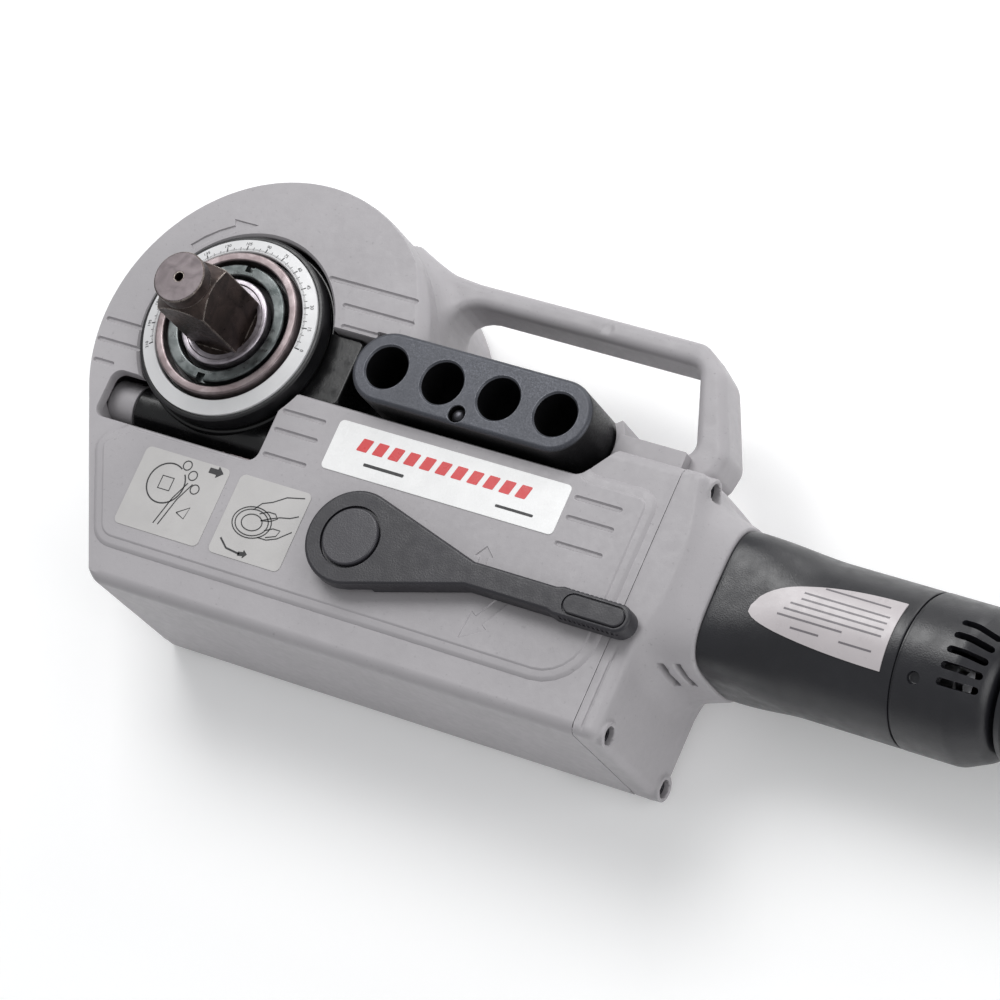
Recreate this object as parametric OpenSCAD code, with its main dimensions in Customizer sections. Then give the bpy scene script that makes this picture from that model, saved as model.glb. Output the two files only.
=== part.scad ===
// Portable electric pipe and bar bending drive, lying on its back.
// Origin: on the output spindle's axis, in the plane that the rubber feet stand on.
// +X runs from the round head to the motor and grip, +Y to the carrying handle, +Z up the spindle.

/* [Case] */
// Radius of the round head
head_r = 87; // [85:0.5:89]
// Underside of the case, below the spindle axis
case_bottom = -133.5; // [-136:0.5:-131]
// Top edge of the case beside the handle
case_top = -3; // [-5:0.5:-2]
// Seam between the case and the end flange
case_right = 247; // [245:0.5:249]
// Height of the head's front face
face_z = 90; // [89:0.5:91]
// How far the front panel stands proud of the head
panel_rise = 2; // [1:0.5:3]
// Wall thickness of the castings
wall = 5; // [4:0.5:6]

/* [Output spindle] */
// Square drive, across flats
square_af = 26.5; // [25:0.1:28]
// Diameter of the round end
journal_d = 25.7; // [24:0.1:26]
// Height of the spindle's end
spindle_top = 151; // [148:1:155]

/* [Former block] */
// Diameter of the four pin bores
bore_d = 21; // [18:0.5:23]
// Distance between the pin bores
bore_pitch = 30.4; // [29.5:0.1:31]
// First pin bore from the spindle axis
bore_first = 91.7; // [90:0.1:93]
// Height of the block's top
block_top = 102.4; // [100:0.2:105]

/* [Scale dial] */
// Outer radius of the white scale
scale_r = 45; // [44:0.5:46]
// Height of the scale's outer edge
scale_z = 96.2; // [95:0.2:97]

/* [Selector lever] */
// Lever pivot along X
lever_x = 112; // [109:0.2:114]
// Lever pivot along Y
lever_y = -81.6; // [-84:0.2:-80]
// Radius of the lever's head
lever_r = 23; // [21:0.5:24]
// Distance from the pivot to the grip's centre
lever_reach = 133.4; // [130:0.2:138]

/* [Motor and grip] */
// Radius of the motor housing at the flange
motor_r = 40; // [39:0.5:41]
// Radius of the motor housing's middle
motor_waist_r = 35.5; // [35:0.25:36.5]
// Joint between the motor housing and its rear cover
motor_seam = 374; // [372:1:376]
// Radius of the switch grip
grip_r = 22.5; // [22:0.5:24]
// End of the switch grip
grip_end = 556; // [550:1:562]
// Radius of the cable inlet
inlet_r = 4.2; // [3.5:0.1:4.5]

/* [Gear train] */
// Teeth of the big gear on the spindle
final_teeth = 60; // [60]
// Teeth of the pinion that drives it
counter_teeth = 22; // [22]
// Teeth of the worm wheel
wheel_teeth = 36; // [36]
// Teeth of the gear on the worm shaft
input_teeth = 18; // [18]
// Teeth of the idler's pinion, which drives the worm shaft
idler_pinion_teeth = 12; // [12]
// Teeth of the idler's gear
idler_teeth = 28; // [28]
// Teeth of the motor pinion
motor_teeth = 11; // [11]
// Module of the final gear pair
final_module = 2; // [2]
// Module of the worm and its wheel
worm_module = 1.5; // [1.5]
// Module of the idler pinion and the gear on the worm shaft
input_module = 1.25; // [1.25]
// Module of the motor pinion and the idler gear
motor_module = 1; // [1]

/* [Hidden] */
$fn = 48;

grey = [0.70, 0.69, 0.70];
black = [0.09, 0.09, 0.10];
motor_black = [0.16, 0.16, 0.18];
lever_grey = [0.26, 0.25, 0.27];
steel = [0.62, 0.62, 0.64];
dark_steel = [0.20, 0.17, 0.16];
bronze = [0.55, 0.42, 0.38];
block_blue = [0.27, 0.28, 0.32];

// Case
feet_h = 4;
cover_t = 8;
case_back = feet_h + cover_t;
panel_z = face_z + panel_rise;
head_c = [14, -5];
slant = 207.5;
corner_r = 8;
slant_dir = [cos(slant), sin(slant)];
slant_d = head_c * slant_dir + head_r;
corner_y = case_bottom + corner_r;
corner_c = [(slant_d - corner_r - slant_dir.y * corner_y) / slant_dir.x, corner_y];
flange_end = 259.5;
window_x = [-36, 40];
window_y = -57;
plug_recess = [-53, -33.5];
dial_hole_r = 50;
pocket_y = [-20, 15, 18.5];
pocket_x = [40, 72, 200, 213, 202];
pocket_floor = 56;
arm_t = 6;

// Gear train, from the spindle back to the motor
gap = 0.3;
running = 0.05;
final_c = final_module * (final_teeth + counter_teeth) / 2;
final_z = [24, 40];
worm_r = 7.5;
wheel_r = worm_module * wheel_teeth / 2;
worm_y = -43;
worm_z = 70;
worm_lead = PI * worm_module;
counter_y = worm_y - worm_r - wheel_r;
counter_x = sqrt(final_c * final_c - counter_y * counter_y);
counter_a = atan2(counter_y, counter_x);
motor_y = -50;
motor_z = 48;
// The idler's axis, where the two centre distances meet
base_c = norm([motor_y - worm_y, motor_z - worm_z]);
base_a = atan2(worm_z - motor_z, worm_y - motor_y);
motor_c = motor_module * (idler_teeth + motor_teeth) / 2;
input_c = input_module * (input_teeth + idler_pinion_teeth) / 2;
idler_a = base_a + acos((base_c * base_c + motor_c * motor_c - input_c * input_c) / (2 * base_c * motor_c));
idler_y = motor_y + motor_c * cos(idler_a);
idler_z = motor_z + motor_c * sin(idler_a);
input_a = atan2(worm_z - idler_z, worm_y - idler_y);
input_x = [214, 222];
idler_x = [224, 231];
worm_turns = 5;
worm_steps = 12;

// Spindle
spindle_r = 20;
collar_r = 22;
square_z = 102.5;
bush_z = [70, 90];

// Small fasteners
screw_r = 2.2;
screw_head_r = 3.6;
boss_r = 5;
flange_screws_at = [[-8.5, 80], [-127.5, 80], [-127.5, 10.5], [-8.5, 10.5]];
cover_screws_at = [[55, -126], [157, -126], [20, 76], [77, 42], [-30, -98], [158, -11]];
feet_at = [[0, 0], [-3, -121.5], [214, -122], [214, -18], [8, 66]];
grip_split_gap = 0.05;
trigger_travel = 6;

function arc_pts(c, r, a0, a1, n) =
    [for (i = [0:n]) c + r * [cos(a0 + (a1 - a0) * i / n), sin(a0 + (a1 - a0) * i / n)]];

// A gear's outline: straight-flanked teeth, narrow enough to run with play
function tooth_pts(m, teeth, i, slim) =
    let (a = 360 * i / teeth, r = m * teeth / 2, p = 90 / teeth)
    [for (k = [[-1.45, -1.2], [-0.62, 0.95], [0.62, 0.95], [1.45, -1.2]])
        let (q = a + sign(k[0]) * p * (abs(k[0]) - slim)) (r + m * k[1]) * [cos(q), sin(q)]];

module gear_2d(m, teeth, slim = 0.16) {
    polygon([for (i = [0:teeth - 1]) each tooth_pts(m, teeth, i, slim)]);
}

// A tube or disc along X
module along_x(x0, x1, y, z) {
    translate([x0, y, z]) rotate([0, 90, 0]) linear_extrude(x1 - x0) children();
}

module rod_x(x0, x1, y, z, r) {
    translate([x0, y, z]) rotate([0, 90, 0]) cylinder(h = x1 - x0, r = r, $fn = 96);
}

module ring(r0, r1, z0, z1) {
    translate([0, 0, z0]) difference() {
        cylinder(h = z1 - z0, r = r1, $fn = 96);
        translate([0, 0, -1]) cylinder(h = z1 - z0 + 2, r = r0, $fn = 96);
    }
}

module ring_x(x0, x1, y, z, r0, r1) {
    difference() {
        rod_x(x0, x1, y, z, r1);
        rod_x(x0 - 1, x1 + 1, y, z, r0);
    }
}

// Outline of the case seen from the front, drawn in by m
module case_2d(m) {
    translate(head_c) circle(head_r - m, $fn = 128);
    polygon(concat(
        [head_c + (head_r - m - 0.1) * slant_dir],
        arc_pts(corner_c, corner_r - m, slant, 270, 6),
        [[case_right - m, case_bottom + m], [case_right - m, case_top - m], [head_c.x, case_top - m]]));
}

// The pocket that the former block stands in, grown by m
module pocket_2d(m) {
    polygon([[pocket_x[0] - m, pocket_y[0] - m], [pocket_x[2] + m / 2, pocket_y[0] - m],
        [pocket_x[3] + m, case_top + m], [pocket_x[4] + m, case_top + m], [pocket_x[4] + m, pocket_y[2] + m],
        [pocket_x[1] - m, pocket_y[2] + m], [pocket_x[1] - m, pocket_y[1] + m],
        [pocket_x[0] - m, pocket_y[1] + m]]);
}

module panel_2d() {
    polygon(concat(
        [[-42, -70], [-38, -63], [-30, -60], [pocket_x[0], -60], [pocket_x[0], -25], [45, pocket_y[0]],
            [pocket_x[2], pocket_y[0]], [202, -22], [232, -22]],
        arc_pts([230, -30], 8, 80, 0, 4),
        arc_pts([217, -89], 21, 0, -90, 6),
        [[-22, -110]]));
}

module front_housing() {
    color(grey) difference() {
        union() {
            difference() {
                union() {
                    translate([0, 0, case_back]) linear_extrude(face_z - case_back) case_2d(0);
                    translate([0, 0, face_z]) linear_extrude(panel_rise) panel_2d();
                }
                translate([0, 0, case_back - 1]) linear_extrude(face_z - wall - case_back + 1)
                    case_2d(wall);
            }
            translate([0, 0, pocket_floor - arm_t]) linear_extrude(face_z - wall + 1 - pocket_floor + arm_t)
                intersection() {
                    case_2d(1);
                    pocket_2d(3);
                }
            for (s = flange_screws_at)
                rod_x(case_right - 22, case_right - 1, s.x, s.y, boss_r);
            for (s = cover_screws_at)
                translate([s.x, s.y, case_back]) cylinder(h = 18, r = 6);
            translate([lever_x, lever_y, 78]) cylinder(h = panel_z + 2 - 78, r = 14);
        }
        translate([0, 0, 60]) cylinder(h = 50, r = dial_hole_r, $fn = 128);
        rod_x(-57.4, -38, worm_y, worm_z, 11 + gap);
        translate([window_x[0], window_y, face_z - wall - 2])
            cube([window_x[1] - window_x[0], -window_y, 20]);
        translate([plug_recess.x, window_y, face_z - wall - 2])
            cube([window_x[0] - plug_recess.x + 1, plug_recess.y - window_y, 20]);
        translate([0, 0, pocket_floor - arm_t - 1]) linear_extrude(60) pocket_2d(0);
        for (s = flange_screws_at)
            rod_x(case_right - 20, case_right + 1, s.x, s.y, screw_r + 0.1);
        for (s = cover_screws_at)
            translate([s.x, s.y, case_back - 1]) cylinder(h = 16, r = screw_r + 0.1);
        translate([lever_x, lever_y, 70]) cylinder(h = 40, r = 7 + running);
        rod_x(case_right - wall - 1, case_right + 1, motor_y, motor_z, 30);
    }
}

module rear_cover() {
    color(grey) difference() {
        union() {
            translate([0, 0, feet_h]) linear_extrude(cover_t) case_2d(0.3);
            translate([0, 0, case_back]) cylinder(h = 10, r = 26);
            translate([counter_x, counter_y, case_back]) cylinder(h = 10, r = 14);
        }
        translate([0, 0, case_back - 3]) cylinder(h = 20, r = 19, $fn = 96);
        translate([counter_x, counter_y, case_back - 3]) cylinder(h = 20, r = 10, $fn = 96);
        for (s = cover_screws_at)
            translate([s.x, s.y, 0]) {
                cylinder(h = 30, r = screw_r + 0.2);
                cylinder(h = feet_h + 4, r = screw_head_r + 0.4);
            }
        for (s = feet_at)
            translate([s.x, s.y, 0]) cylinder(h = feet_h + 1.5, r = 10);
        for (s = flange_screws_at)
            rod_x(case_right - 22 - gap, case_right + 1, s.x, s.y, boss_r + gap);
    }
}

module end_flange() {
    color(grey) difference() {
        union() {
            translate([case_right, case_bottom, feet_h])
                cube([flange_end - case_right, case_top - case_bottom, face_z - feet_h]);
            translate([flange_end, motor_y, motor_z]) rotate([0, 90, 0])
                cylinder(h = 18.5, r1 = 43.5, r2 = motor_r + 0.5, $fn = 96);
        }
        rod_x(flange_end - 3.5, 300, motor_y, motor_z, 33);
        rod_x(case_right - 1, 300, motor_y, motor_z, 12);
        rod_x(case_right - 1, case_right + 6, idler_y, idler_z, 4 + running);
        for (s = flange_screws_at) {
            rod_x(case_right - 1, flange_end + 1, s.x, s.y, screw_r + 0.2);
            rod_x(flange_end - 5, flange_end + 5, s.x, s.y, screw_head_r + 0.4);
        }
        for (i = [0:1])
            translate([266 + 6 * i, motor_y - 37 + i, motor_z + 14]) rotate([25, 0, 0])
                translate([-1.5, -9, -9]) cube([3, 18, 18]);
    }
}

module handle_outer_2d() {
    polygon([[60, 19], [60, 70], [84, 62], [96, 60], [219, 60], [230, 55.5], [238, 47], [257, 12],
        [255.5, 2], [250, case_top], [203, case_top], [203, 19]]);
}

module handle_opening_2d() {
    polygon(concat(
        [[98.5, 5]],
        arc_pts([110.5, 39.5], 12, 180, 90, 6),
        arc_pts([216, 44.5], 7, 90, 22, 4),
        arc_pts([235.5, 12.6], 5, 22, -90, 5),
        [[201, 7.6], [201, 5]]));
}

module carry_handle() {
    color(grey) difference() {
        translate([0, 0, 45]) linear_extrude(25) difference() {
            handle_outer_2d();
            handle_opening_2d();
        }
        translate([head_c.x, head_c.y, 0]) cylinder(h = 100, r = head_r, $fn = 128);
    }
}

module gear_case() {
    color(black) difference() {
        union() {
            translate([0, 0, 62]) cylinder(h = 22, r = 49, $fn = 128);
            cylinder(h = 84, r = 34, $fn = 128);
            translate([0, 0, 84]) cylinder(h = 9, r = scale_r - 7 - running, $fn = 128);
            rod_x(-40, 62, worm_y, worm_z, 12);
            translate([0, 0, pocket_floor - arm_t]) linear_extrude(arm_t) pocket_2d(-gap);
            translate([pocket_x[0] + gap, pocket_y[0] + gap, pocket_floor - arm_t])
                cube([24, 34.4, 84 - pocket_floor + arm_t]);
        }
        translate([0, 0, -1]) cylinder(h = 47, r = 80, $fn = 128);
        cylinder(h = 100, r = spindle_r + 1, $fn = 96);
        translate([0, 0, bush_z[0]]) cylinder(h = 40, r = 26, $fn = 96);
        translate([0, 0, bush_z[1]]) cylinder(h = 20, r = 30.2, $fn = 96);
        ring(32.2, 36.4, 88, 100);
        rod_x(-41, 63, worm_y, worm_z, 9.5);
        translate([counter_x, counter_y, 60]) cylinder(h = 20, r = wheel_r + 4);
    }
}

module worm_plug() {
    color(grey) union() {
        rod_x(-54, -40, worm_y, worm_z, 11);
        translate([-54, worm_y, worm_z]) rotate([0, -90, 0]) cylinder(h = 3, r1 = 11, r2 = 8, $fn = 64);
        ring_x(-40, -33, worm_y, worm_z, 8, 9.5);
    }
}

module front_bush() {
    color(bronze) ring(spindle_r + running, 26, bush_z[0], bush_z[1]);
}

module rear_bush() {
    color(bronze) ring(15 + running, 19, case_back - 3, case_back + 10);
}

module spindle_seal() {
    color(black) ring(spindle_r + gap, 24, bush_z[1], bush_z[1] + 5);
}

module bearing_nut() {
    color(dark_steel) difference() {
        ring(24.4, 30.2, bush_z[1], 101);
        for (a = [90, 270])
            rotate([0, 0, a]) translate([27, -2, 98]) cube([5, 4, 5]);
    }
}

module dial_bearing_ring() {
    color(bronze) ring(32.2, 36.4, 88, 101);
}

module former_block() {
    x1 = bore_first + 3 * bore_pitch;
    block_r = 17.6;
    color(block_blue) difference() {
        union() {
            for (x = [bore_first, x1])
                translate([x, 0, pocket_floor]) cylinder(h = block_top - pocket_floor, r = block_r, $fn = 96);
            translate([bore_first, -block_r, pocket_floor])
                cube([x1 - bore_first, 2 * block_r, block_top - pocket_floor]);
        }
        for (i = [0:3])
            translate([bore_first + i * bore_pitch, 0, pocket_floor - 1])
                cylinder(h = block_top - pocket_floor + 2, r = bore_d / 2, $fn = 64);
        translate([bore_first + 1.45 * bore_pitch, -12.3, pocket_floor - 1]) cylinder(h = 60, r = 2.7);
        translate([bore_first + 1.45 * bore_pitch, -12.3, block_top - 7]) cylinder(h = 10, r = 4.2);
    }
}

module block_screw() {
    color(steel) translate([bore_first + 1.45 * bore_pitch, -12.3, 0]) difference() {
        union() {
            translate([0, 0, pocket_floor + 0.5]) cylinder(h = block_top - 6.5 - pocket_floor, r = 2.5);
            translate([0, 0, block_top - 7]) cylinder(h = 4, r = 3.9);
        }
        translate([0, 0, block_top - 5]) cylinder(h = 5, r = 2, $fn = 6);
    }
}

module drive_bracket() {
    color(steel) difference() {
        translate([206, -94, case_back]) cube([6, 66, 71]);
        rod_x(200, 220, worm_y, worm_z, 9.5);
        rod_x(200, 220, motor_y, motor_z, 9);
        rod_x(200, 220, idler_y, idler_z, 4 + running);
    }
}

module worm_bearings() {
    color(steel) {
        ring_x(-33, -26, worm_y, worm_z, 4 + running, 9.5);
        ring_x(54, 62, worm_y, worm_z, 5 + running, 9.5);
        ring_x(206, 212, worm_y, worm_z, 5 + running, 9.5);
    }
}

module counter_bushes() {
    color(bronze) translate([counter_x, counter_y, 0]) ring(6 + running, 10, case_back - 3, case_back + 10);
}

module output_spindle() {
    h = square_af / 2;
    color(dark_steel) difference() {
        union() {
            translate([0, 0, case_back - 2]) cylinder(h = 14, r = 15, $fn = 96);
            translate([0, 0, case_back + 12]) cylinder(h = 85, r = spindle_r, $fn = 96);
            translate([0, 0, 97]) cylinder(h = square_z - 97, r = collar_r, $fn = 96);
            intersection() {
                translate([-h, -h, square_z]) cube([2 * h, 2 * h, spindle_top - 8 - square_z]);
                rotate_extrude($fn = 96) polygon([[0, square_z], [19, square_z],
                    [19, spindle_top - 14], [journal_d / 2 + 0.4, spindle_top - 8], [0, spindle_top - 8]]);
            }
            rotate_extrude($fn = 96) polygon([[0, 120], [10, 120], [journal_d / 2 - 1.2, spindle_top - 9],
                [journal_d / 2, spindle_top - 8], [journal_d / 2, spindle_top - 0.8],
                [journal_d / 2 - 0.8, spindle_top], [0, spindle_top]]);
        }
        translate([0, 0, spindle_top - 6]) cylinder(h = 7, r = 1.6);
        translate([0, 0, spindle_top - 1.8]) cylinder(h = 2, r1 = 1.6, r2 = 3.4);
        ring(spindle_r - 1.5, spindle_r + 2, 42, 44);
    }
}

module final_gear() {
    color(steel) difference() {
        translate([0, 0, final_z[0]]) rotate([0, 0, counter_a])
            linear_extrude(final_z[1] - final_z[0]) gear_2d(final_module, final_teeth);
        translate([0, 0, 10]) cylinder(h = 50, r = spindle_r, $fn = 96);
        for (a = [0:60:300])
            rotate([0, 0, a]) translate([38, 0, 10]) cylinder(h = 50, r = 9);
    }
}

module spindle_circlip() {
    color(steel) ring(spindle_r - 1.5, spindle_r + 2, 42, 44);
}

module counter_pinion() {
    color(steel) translate([counter_x, counter_y, 0]) union() {
        translate([0, 0, case_back - 2]) cylinder(h = 75, r = 6, $fn = 64);
        translate([0, 0, final_z[0] - 1]) rotate([0, 0, counter_a + 180 + 180 / counter_teeth])
            linear_extrude(final_z[1] - final_z[0] + 2) gear_2d(final_module, counter_teeth);
    }
}

module worm_wheel() {
    color(bronze) translate([counter_x, counter_y, 0]) difference() {
        translate([0, 0, worm_z - 6]) rotate([0, 0, 90])
            linear_extrude(12) gear_2d(worm_module, wheel_teeth, 0.3);
        translate([0, 0, 50]) cylinder(h = 40, r = 6, $fn = 64);
    }
}

// One start of worm thread as the outline of a cut square to its axis
function worm_pts(n) =
    [for (i = [0:n - 1])
        let (u = abs(i / n - 0.5) * 2, k = min(1, max(0, (u - 0.42) / 0.28)))
        (worm_r + worm_module * (0.95 - 2.15 * k)) * [cos(360 * i / n), sin(360 * i / n)]];

module worm_shaft() {
    length = worm_turns * worm_lead;
    x0 = counter_x - length / 2;
    start = 270 - 360 * (length / 2) / worm_lead;
    color(steel) union() {
        rod_x(-32, x0, worm_y, worm_z, 4);
        rod_x(x0 + length, input_x[1] + 2, worm_y, worm_z, 5);
        translate([x0, worm_y, worm_z]) rotate([0, 90, 0])
            linear_extrude(length, twist = -360 * worm_turns, slices = worm_turns * worm_steps)
                rotate([0, 0, start]) polygon(worm_pts(18));
    }
}

module input_gear() {
    color(steel) difference() {
        along_x(input_x[0], input_x[1], worm_y, worm_z)
            rotate([0, 0, input_a + 90 + 180]) gear_2d(input_module, input_teeth);
        rod_x(200, 250, worm_y, worm_z, 5);
    }
}

module idler_shaft() {
    color(steel) union() {
        rod_x(206.5, 252, idler_y, idler_z, 4);
        along_x(input_x[0] - 1, input_x[1] + 1, idler_y, idler_z)
            rotate([0, 0, input_a + 90 + 180 / idler_pinion_teeth]) gear_2d(input_module, idler_pinion_teeth);
    }
}

module idler_gear() {
    color(steel) difference() {
        along_x(idler_x[0], idler_x[1], idler_y, idler_z)
            rotate([0, 0, idler_a + 90 + 180]) gear_2d(motor_module, idler_teeth);
        rod_x(200, 250, idler_y, idler_z, 4);
    }
}

module dial_carrier() {
    bore = scale_r - 7;
    color(black) rotate_extrude($fn = 128) polygon([[bore, 84.5], [scale_r + 2, 84.5],
        [scale_r + 2.5, 86], [scale_r + 2.5, 94], [scale_r + 1.5, 95], [scale_r + gap, 95],
        [scale_r + gap, 93], [bore, 93]]);
}

module scale_ring() {
    bore = scale_r - 7;
    color([0.9, 0.9, 0.9]) rotate_extrude($fn = 128) polygon([[bore, 93], [scale_r, 93],
        [scale_r, scale_z], [bore + 0.4, scale_z + 1.8], [bore, scale_z + 1.4]]);
}

// The lever's outline: a round head, a tapering neck and a straight bar with a rounded end
module lever_2d() {
    neck = 63.7;
    half = 6;
    reach = lever_reach + 13;
    a = acos((lever_r - half) / neck);
    circle(lever_r, $fn = 96);
    polygon([lever_r * [cos(a), sin(a)], [neck, half], [neck, -half], lever_r * [cos(a), -sin(a)]]);
    translate([neck - 1, -half]) square([reach - 6 - neck, 2 * half]);
    translate([lever_reach - 34, -7]) square([41, 14]);
    translate([lever_reach + 7, 0]) circle(7);
}

module selector_lever() {
    color(lever_grey) translate([lever_x, lever_y, 0]) difference() {
        union() {
            translate([0, 0, panel_z + 1.2]) linear_extrude(9.8) lever_2d();
            translate([0, 0, panel_z + 2.3]) cylinder(h = 2.4, r = 16);
        }
        translate([0, 0, panel_z]) difference() {
            cylinder(h = 4.5, r = lever_r + 3);
            cylinder(h = 10, r = 16);
        }
        translate([0, 0, panel_z]) cylinder(h = 2.3, r = 17);
        translate([0, 0, 90]) cylinder(h = 30, r = 6);
        translate([0, 0, panel_z + 9.5]) cylinder(h = 5, r = 13.8 + gap);
    }
}

module lever_cap() {
    color(lever_grey) translate([lever_x, lever_y, panel_z + 9.5]) cylinder(h = 2.5, r = 13.8);
}

module lever_shaft() {
    color(steel) translate([lever_x, lever_y, 0]) union() {
        translate([0, 0, 74]) cylinder(h = panel_z + 9.5 - 74, r = 6);
        translate([0, 0, 76]) cylinder(h = panel_z - 76, r = 7, $fn = 64);
        translate([0, 0, 70]) linear_extrude(5) union() {
            circle(9);
            translate([0, -4]) square([22, 8]);
        }
    }
}

module direction_switch() {
    color(black) union() {
        translate([lever_x + 26, lever_y - 13, 62]) cube([24, 26, 18]);
        translate([lever_x + 24, lever_y - 9, 68]) cube([2.5, 3, 8]);
        translate([lever_x + 24, lever_y + 6, 68]) cube([2.5, 3, 8]);
    }
}

module motor_housing() {
    color(motor_black) translate([0, motor_y, motor_z]) rotate([0, 90, 0]) difference() {
        rotate_extrude($fn = 96) polygon([[27, 262], [33 - running, 262], [33 - running, 278], [motor_r, 278],
            [motor_r - 0.5, 286], [motor_waist_r + 1.5, 306], [motor_waist_r, 322], [motor_waist_r, motor_seam],
            [33, motor_seam], [33, 300], [31, 290], [31, 270], [11, 270], [11, 262]]);
        for (a = [45:90:315])
            rotate([0, 0, a]) translate([21, 0, 255]) cylinder(h = 20, r = 4);
    }
}

module motor_rear_cover() {
    x1 = 414;
    color(motor_black) translate([0, motor_y, motor_z]) rotate([0, 90, 0]) difference() {
        union() {
            rotate_extrude($fn = 96) polygon([[31, motor_seam], [motor_waist_r, motor_seam], [motor_waist_r, 400],
                [33.5, 410], [28, 418], [24, 420], [12, 420], [12, 413], [24, 413], [31, 405]]);
            ring(11, 15, 380, 416);
            for (a = [45:90:315])
                rotate([0, 0, a]) translate([27.5, 0, 376]) cylinder(h = 26, r = 4);
        }
        for (a = [45:90:315])
            rotate([0, 0, a]) translate([27.5, 0, 370]) cylinder(h = 40, r = 2.1);
        for (a = [-24:12:24])
            for (s = [5, 185])
                rotate([0, 0, a + s]) translate([16, -1.9, 393]) cube([50, 3.8, 20]);
    }
}

module stator_core() {
    color(steel) ring_x(300, 345, motor_y, motor_z, 22, 33);
}

module field_coils() {
    color([0.7, 0.35, 0.15]) {
        ring_x(291, 300, motor_y, motor_z, 22.5, 29);
        ring_x(345, 354, motor_y, motor_z, 22.5, 31);
    }
}

module brush_holders() {
    color([0.75, 0.6, 0.3]) for (s = [-1, 1])
        translate([362, motor_y, motor_z]) rotate([0, 0, 90 * s]) difference() {
            translate([14, -6, -5]) cube([16, 12, 10]);
            translate([10, -3.5, -2.5]) cube([30, 7, 5]);
        }
}

module carbon_brushes() {
    color(black) for (s = [-1, 1])
        translate([362, motor_y, motor_z]) rotate([0, 0, 90 * s])
            translate([12.3, -3.4, -2.4]) cube([12, 6.8, 4.8]);
}

module motor_bearings() {
    color(steel) {
        ring_x(262, 270, motor_y, motor_z, 5 + running, 11);
        ring_x(384, 392, motor_y, motor_z, 5 + running, 11);
    }
}

module armature_shaft() {
    color(steel) union() {
        rod_x(idler_x[0] - 1, idler_x[1] + 4, motor_y, motor_z, 3.2);
        rod_x(idler_x[1] + 2, 394, motor_y, motor_z, 5);
        along_x(idler_x[0] - 0.5, idler_x[1] + 0.5, motor_y, motor_z)
            rotate([0, 0, idler_a + 90 + 180 / motor_teeth]) gear_2d(motor_module, motor_teeth);
    }
}

module armature_core() {
    color(steel) difference() {
        rod_x(300, 345, motor_y, motor_z, 21.4);
        rod_x(299, 346, motor_y, motor_z, 5);
        for (a = [0:30:330])
            translate([299, motor_y, motor_z]) rotate([a, 0, 0]) translate([0, -1.2, 12]) cube([47, 2.4, 12]);
    }
}

module commutator() {
    color([0.72, 0.42, 0.25]) ring_x(354.5, 369, motor_y, motor_z, 5, 12);
}

module cooling_fan() {
    color(black) difference() {
        union() {
            rod_x(274, 276, motor_y, motor_z, 29);
            rod_x(274, 289, motor_y, motor_z, 9);
            for (a = [0:30:330])
                translate([275, motor_y, motor_z]) rotate([a, 0, 0]) translate([0, -0.8, 8]) cube([13, 1.6, 21]);
        }
        rod_x(270, 290, motor_y, motor_z, 5);
    }
}

// The switch grip, a hollow round body
module grip_body() {
    translate([0, motor_y, motor_z]) rotate([0, 90, 0]) rotate_extrude($fn = 96)
        polygon([[12, 420], [28, 420], [29, 424], [27, 432], [grip_r + 0.5, 446], [grip_r, 480],
            [grip_r + 0.5, grip_end - 16], [grip_r - 2, grip_end - 3], [grip_r - 5, grip_end], [9, grip_end],
            [9, grip_end - 4], [grip_r - 6, grip_end - 5], [grip_r - 3, grip_end - 12], [grip_r - 3, 446],
            [24, 430], [24, 423], [12, 423]]);
}

module grip_half(side) {
    color(motor_black) difference() {
        intersection() {
            grip_body();
            translate([400, motor_y - 40, side > 0 ? motor_z + grip_split_gap : motor_z - 60 - grip_split_gap])
                cube([200, 80, 60]);
        }
        translate([448, motor_y - 40, motor_z - 7]) cube([54, 30, 14]);
        translate([520, motor_y, motor_z]) cylinder(h = 40, r = 5 + gap);
        for (x = [434, 530])
            translate([x, motor_y + 12, motor_z - 15]) cylinder(h = 50, r = screw_r + 0.1);
        for (x = [434, 530])
            translate([x, motor_y + 12, motor_z - 60]) cylinder(h = 48, r = screw_head_r);
    }
}

module grip_upper() {
    grip_half(1);
}

module grip_lower() {
    grip_half(-1);
}

module switch_body() {
    color(black) translate([446, motor_y - 8, motor_z - 10]) cube([56, 22, 20]);
}

module trigger() {
    color(lever_grey) translate([449, motor_y - grip_r - 6, motor_z - 6]) union() {
        cube([52, 13, 12]);
        translate([20, 12, 3]) cube([12, 2, 6]);
    }
}

module lock_button() {
    color(lever_grey) translate([520, motor_y, motor_z + 9]) cylinder(h = grip_r - 9 + 3, r = 5);
}

module cable_gland() {
    color(black) difference() {
        union() {
            rod_x(grip_end - 4, grip_end + 2, motor_y, motor_z, 8.8);
            translate([grip_end, motor_y, motor_z]) rotate([0, 90, 0]) cylinder(h = 10, r = 12, $fn = 6);
            translate([grip_end + 10, motor_y, motor_z]) rotate([0, 90, 0])
                cylinder(h = 14, r1 = 10.5, r2 = 8, $fn = 64);
        }
        rod_x(grip_end - 6, grip_end + 30, motor_y, motor_z, inlet_r);
    }
}

module flange_screws() {
    color(steel) for (s = flange_screws_at) difference() {
        union() {
            rod_x(case_right - 18, flange_end - 4, s.x, s.y, screw_r);
            rod_x(flange_end - 5, flange_end - 1, s.x, s.y, screw_head_r);
        }
        rod_x(flange_end - 3, flange_end, s.x, s.y, 1.8);
    }
}

module cover_screws() {
    color(steel) for (s = cover_screws_at) translate([s.x, s.y, 0]) difference() {
        union() {
            translate([0, 0, feet_h + 4]) cylinder(h = 14, r = screw_r);
            translate([0, 0, feet_h + 1]) cylinder(h = 3, r = screw_head_r);
        }
        translate([0, 0, feet_h]) cylinder(h = 2.5, r = 1.8);
    }
}

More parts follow.
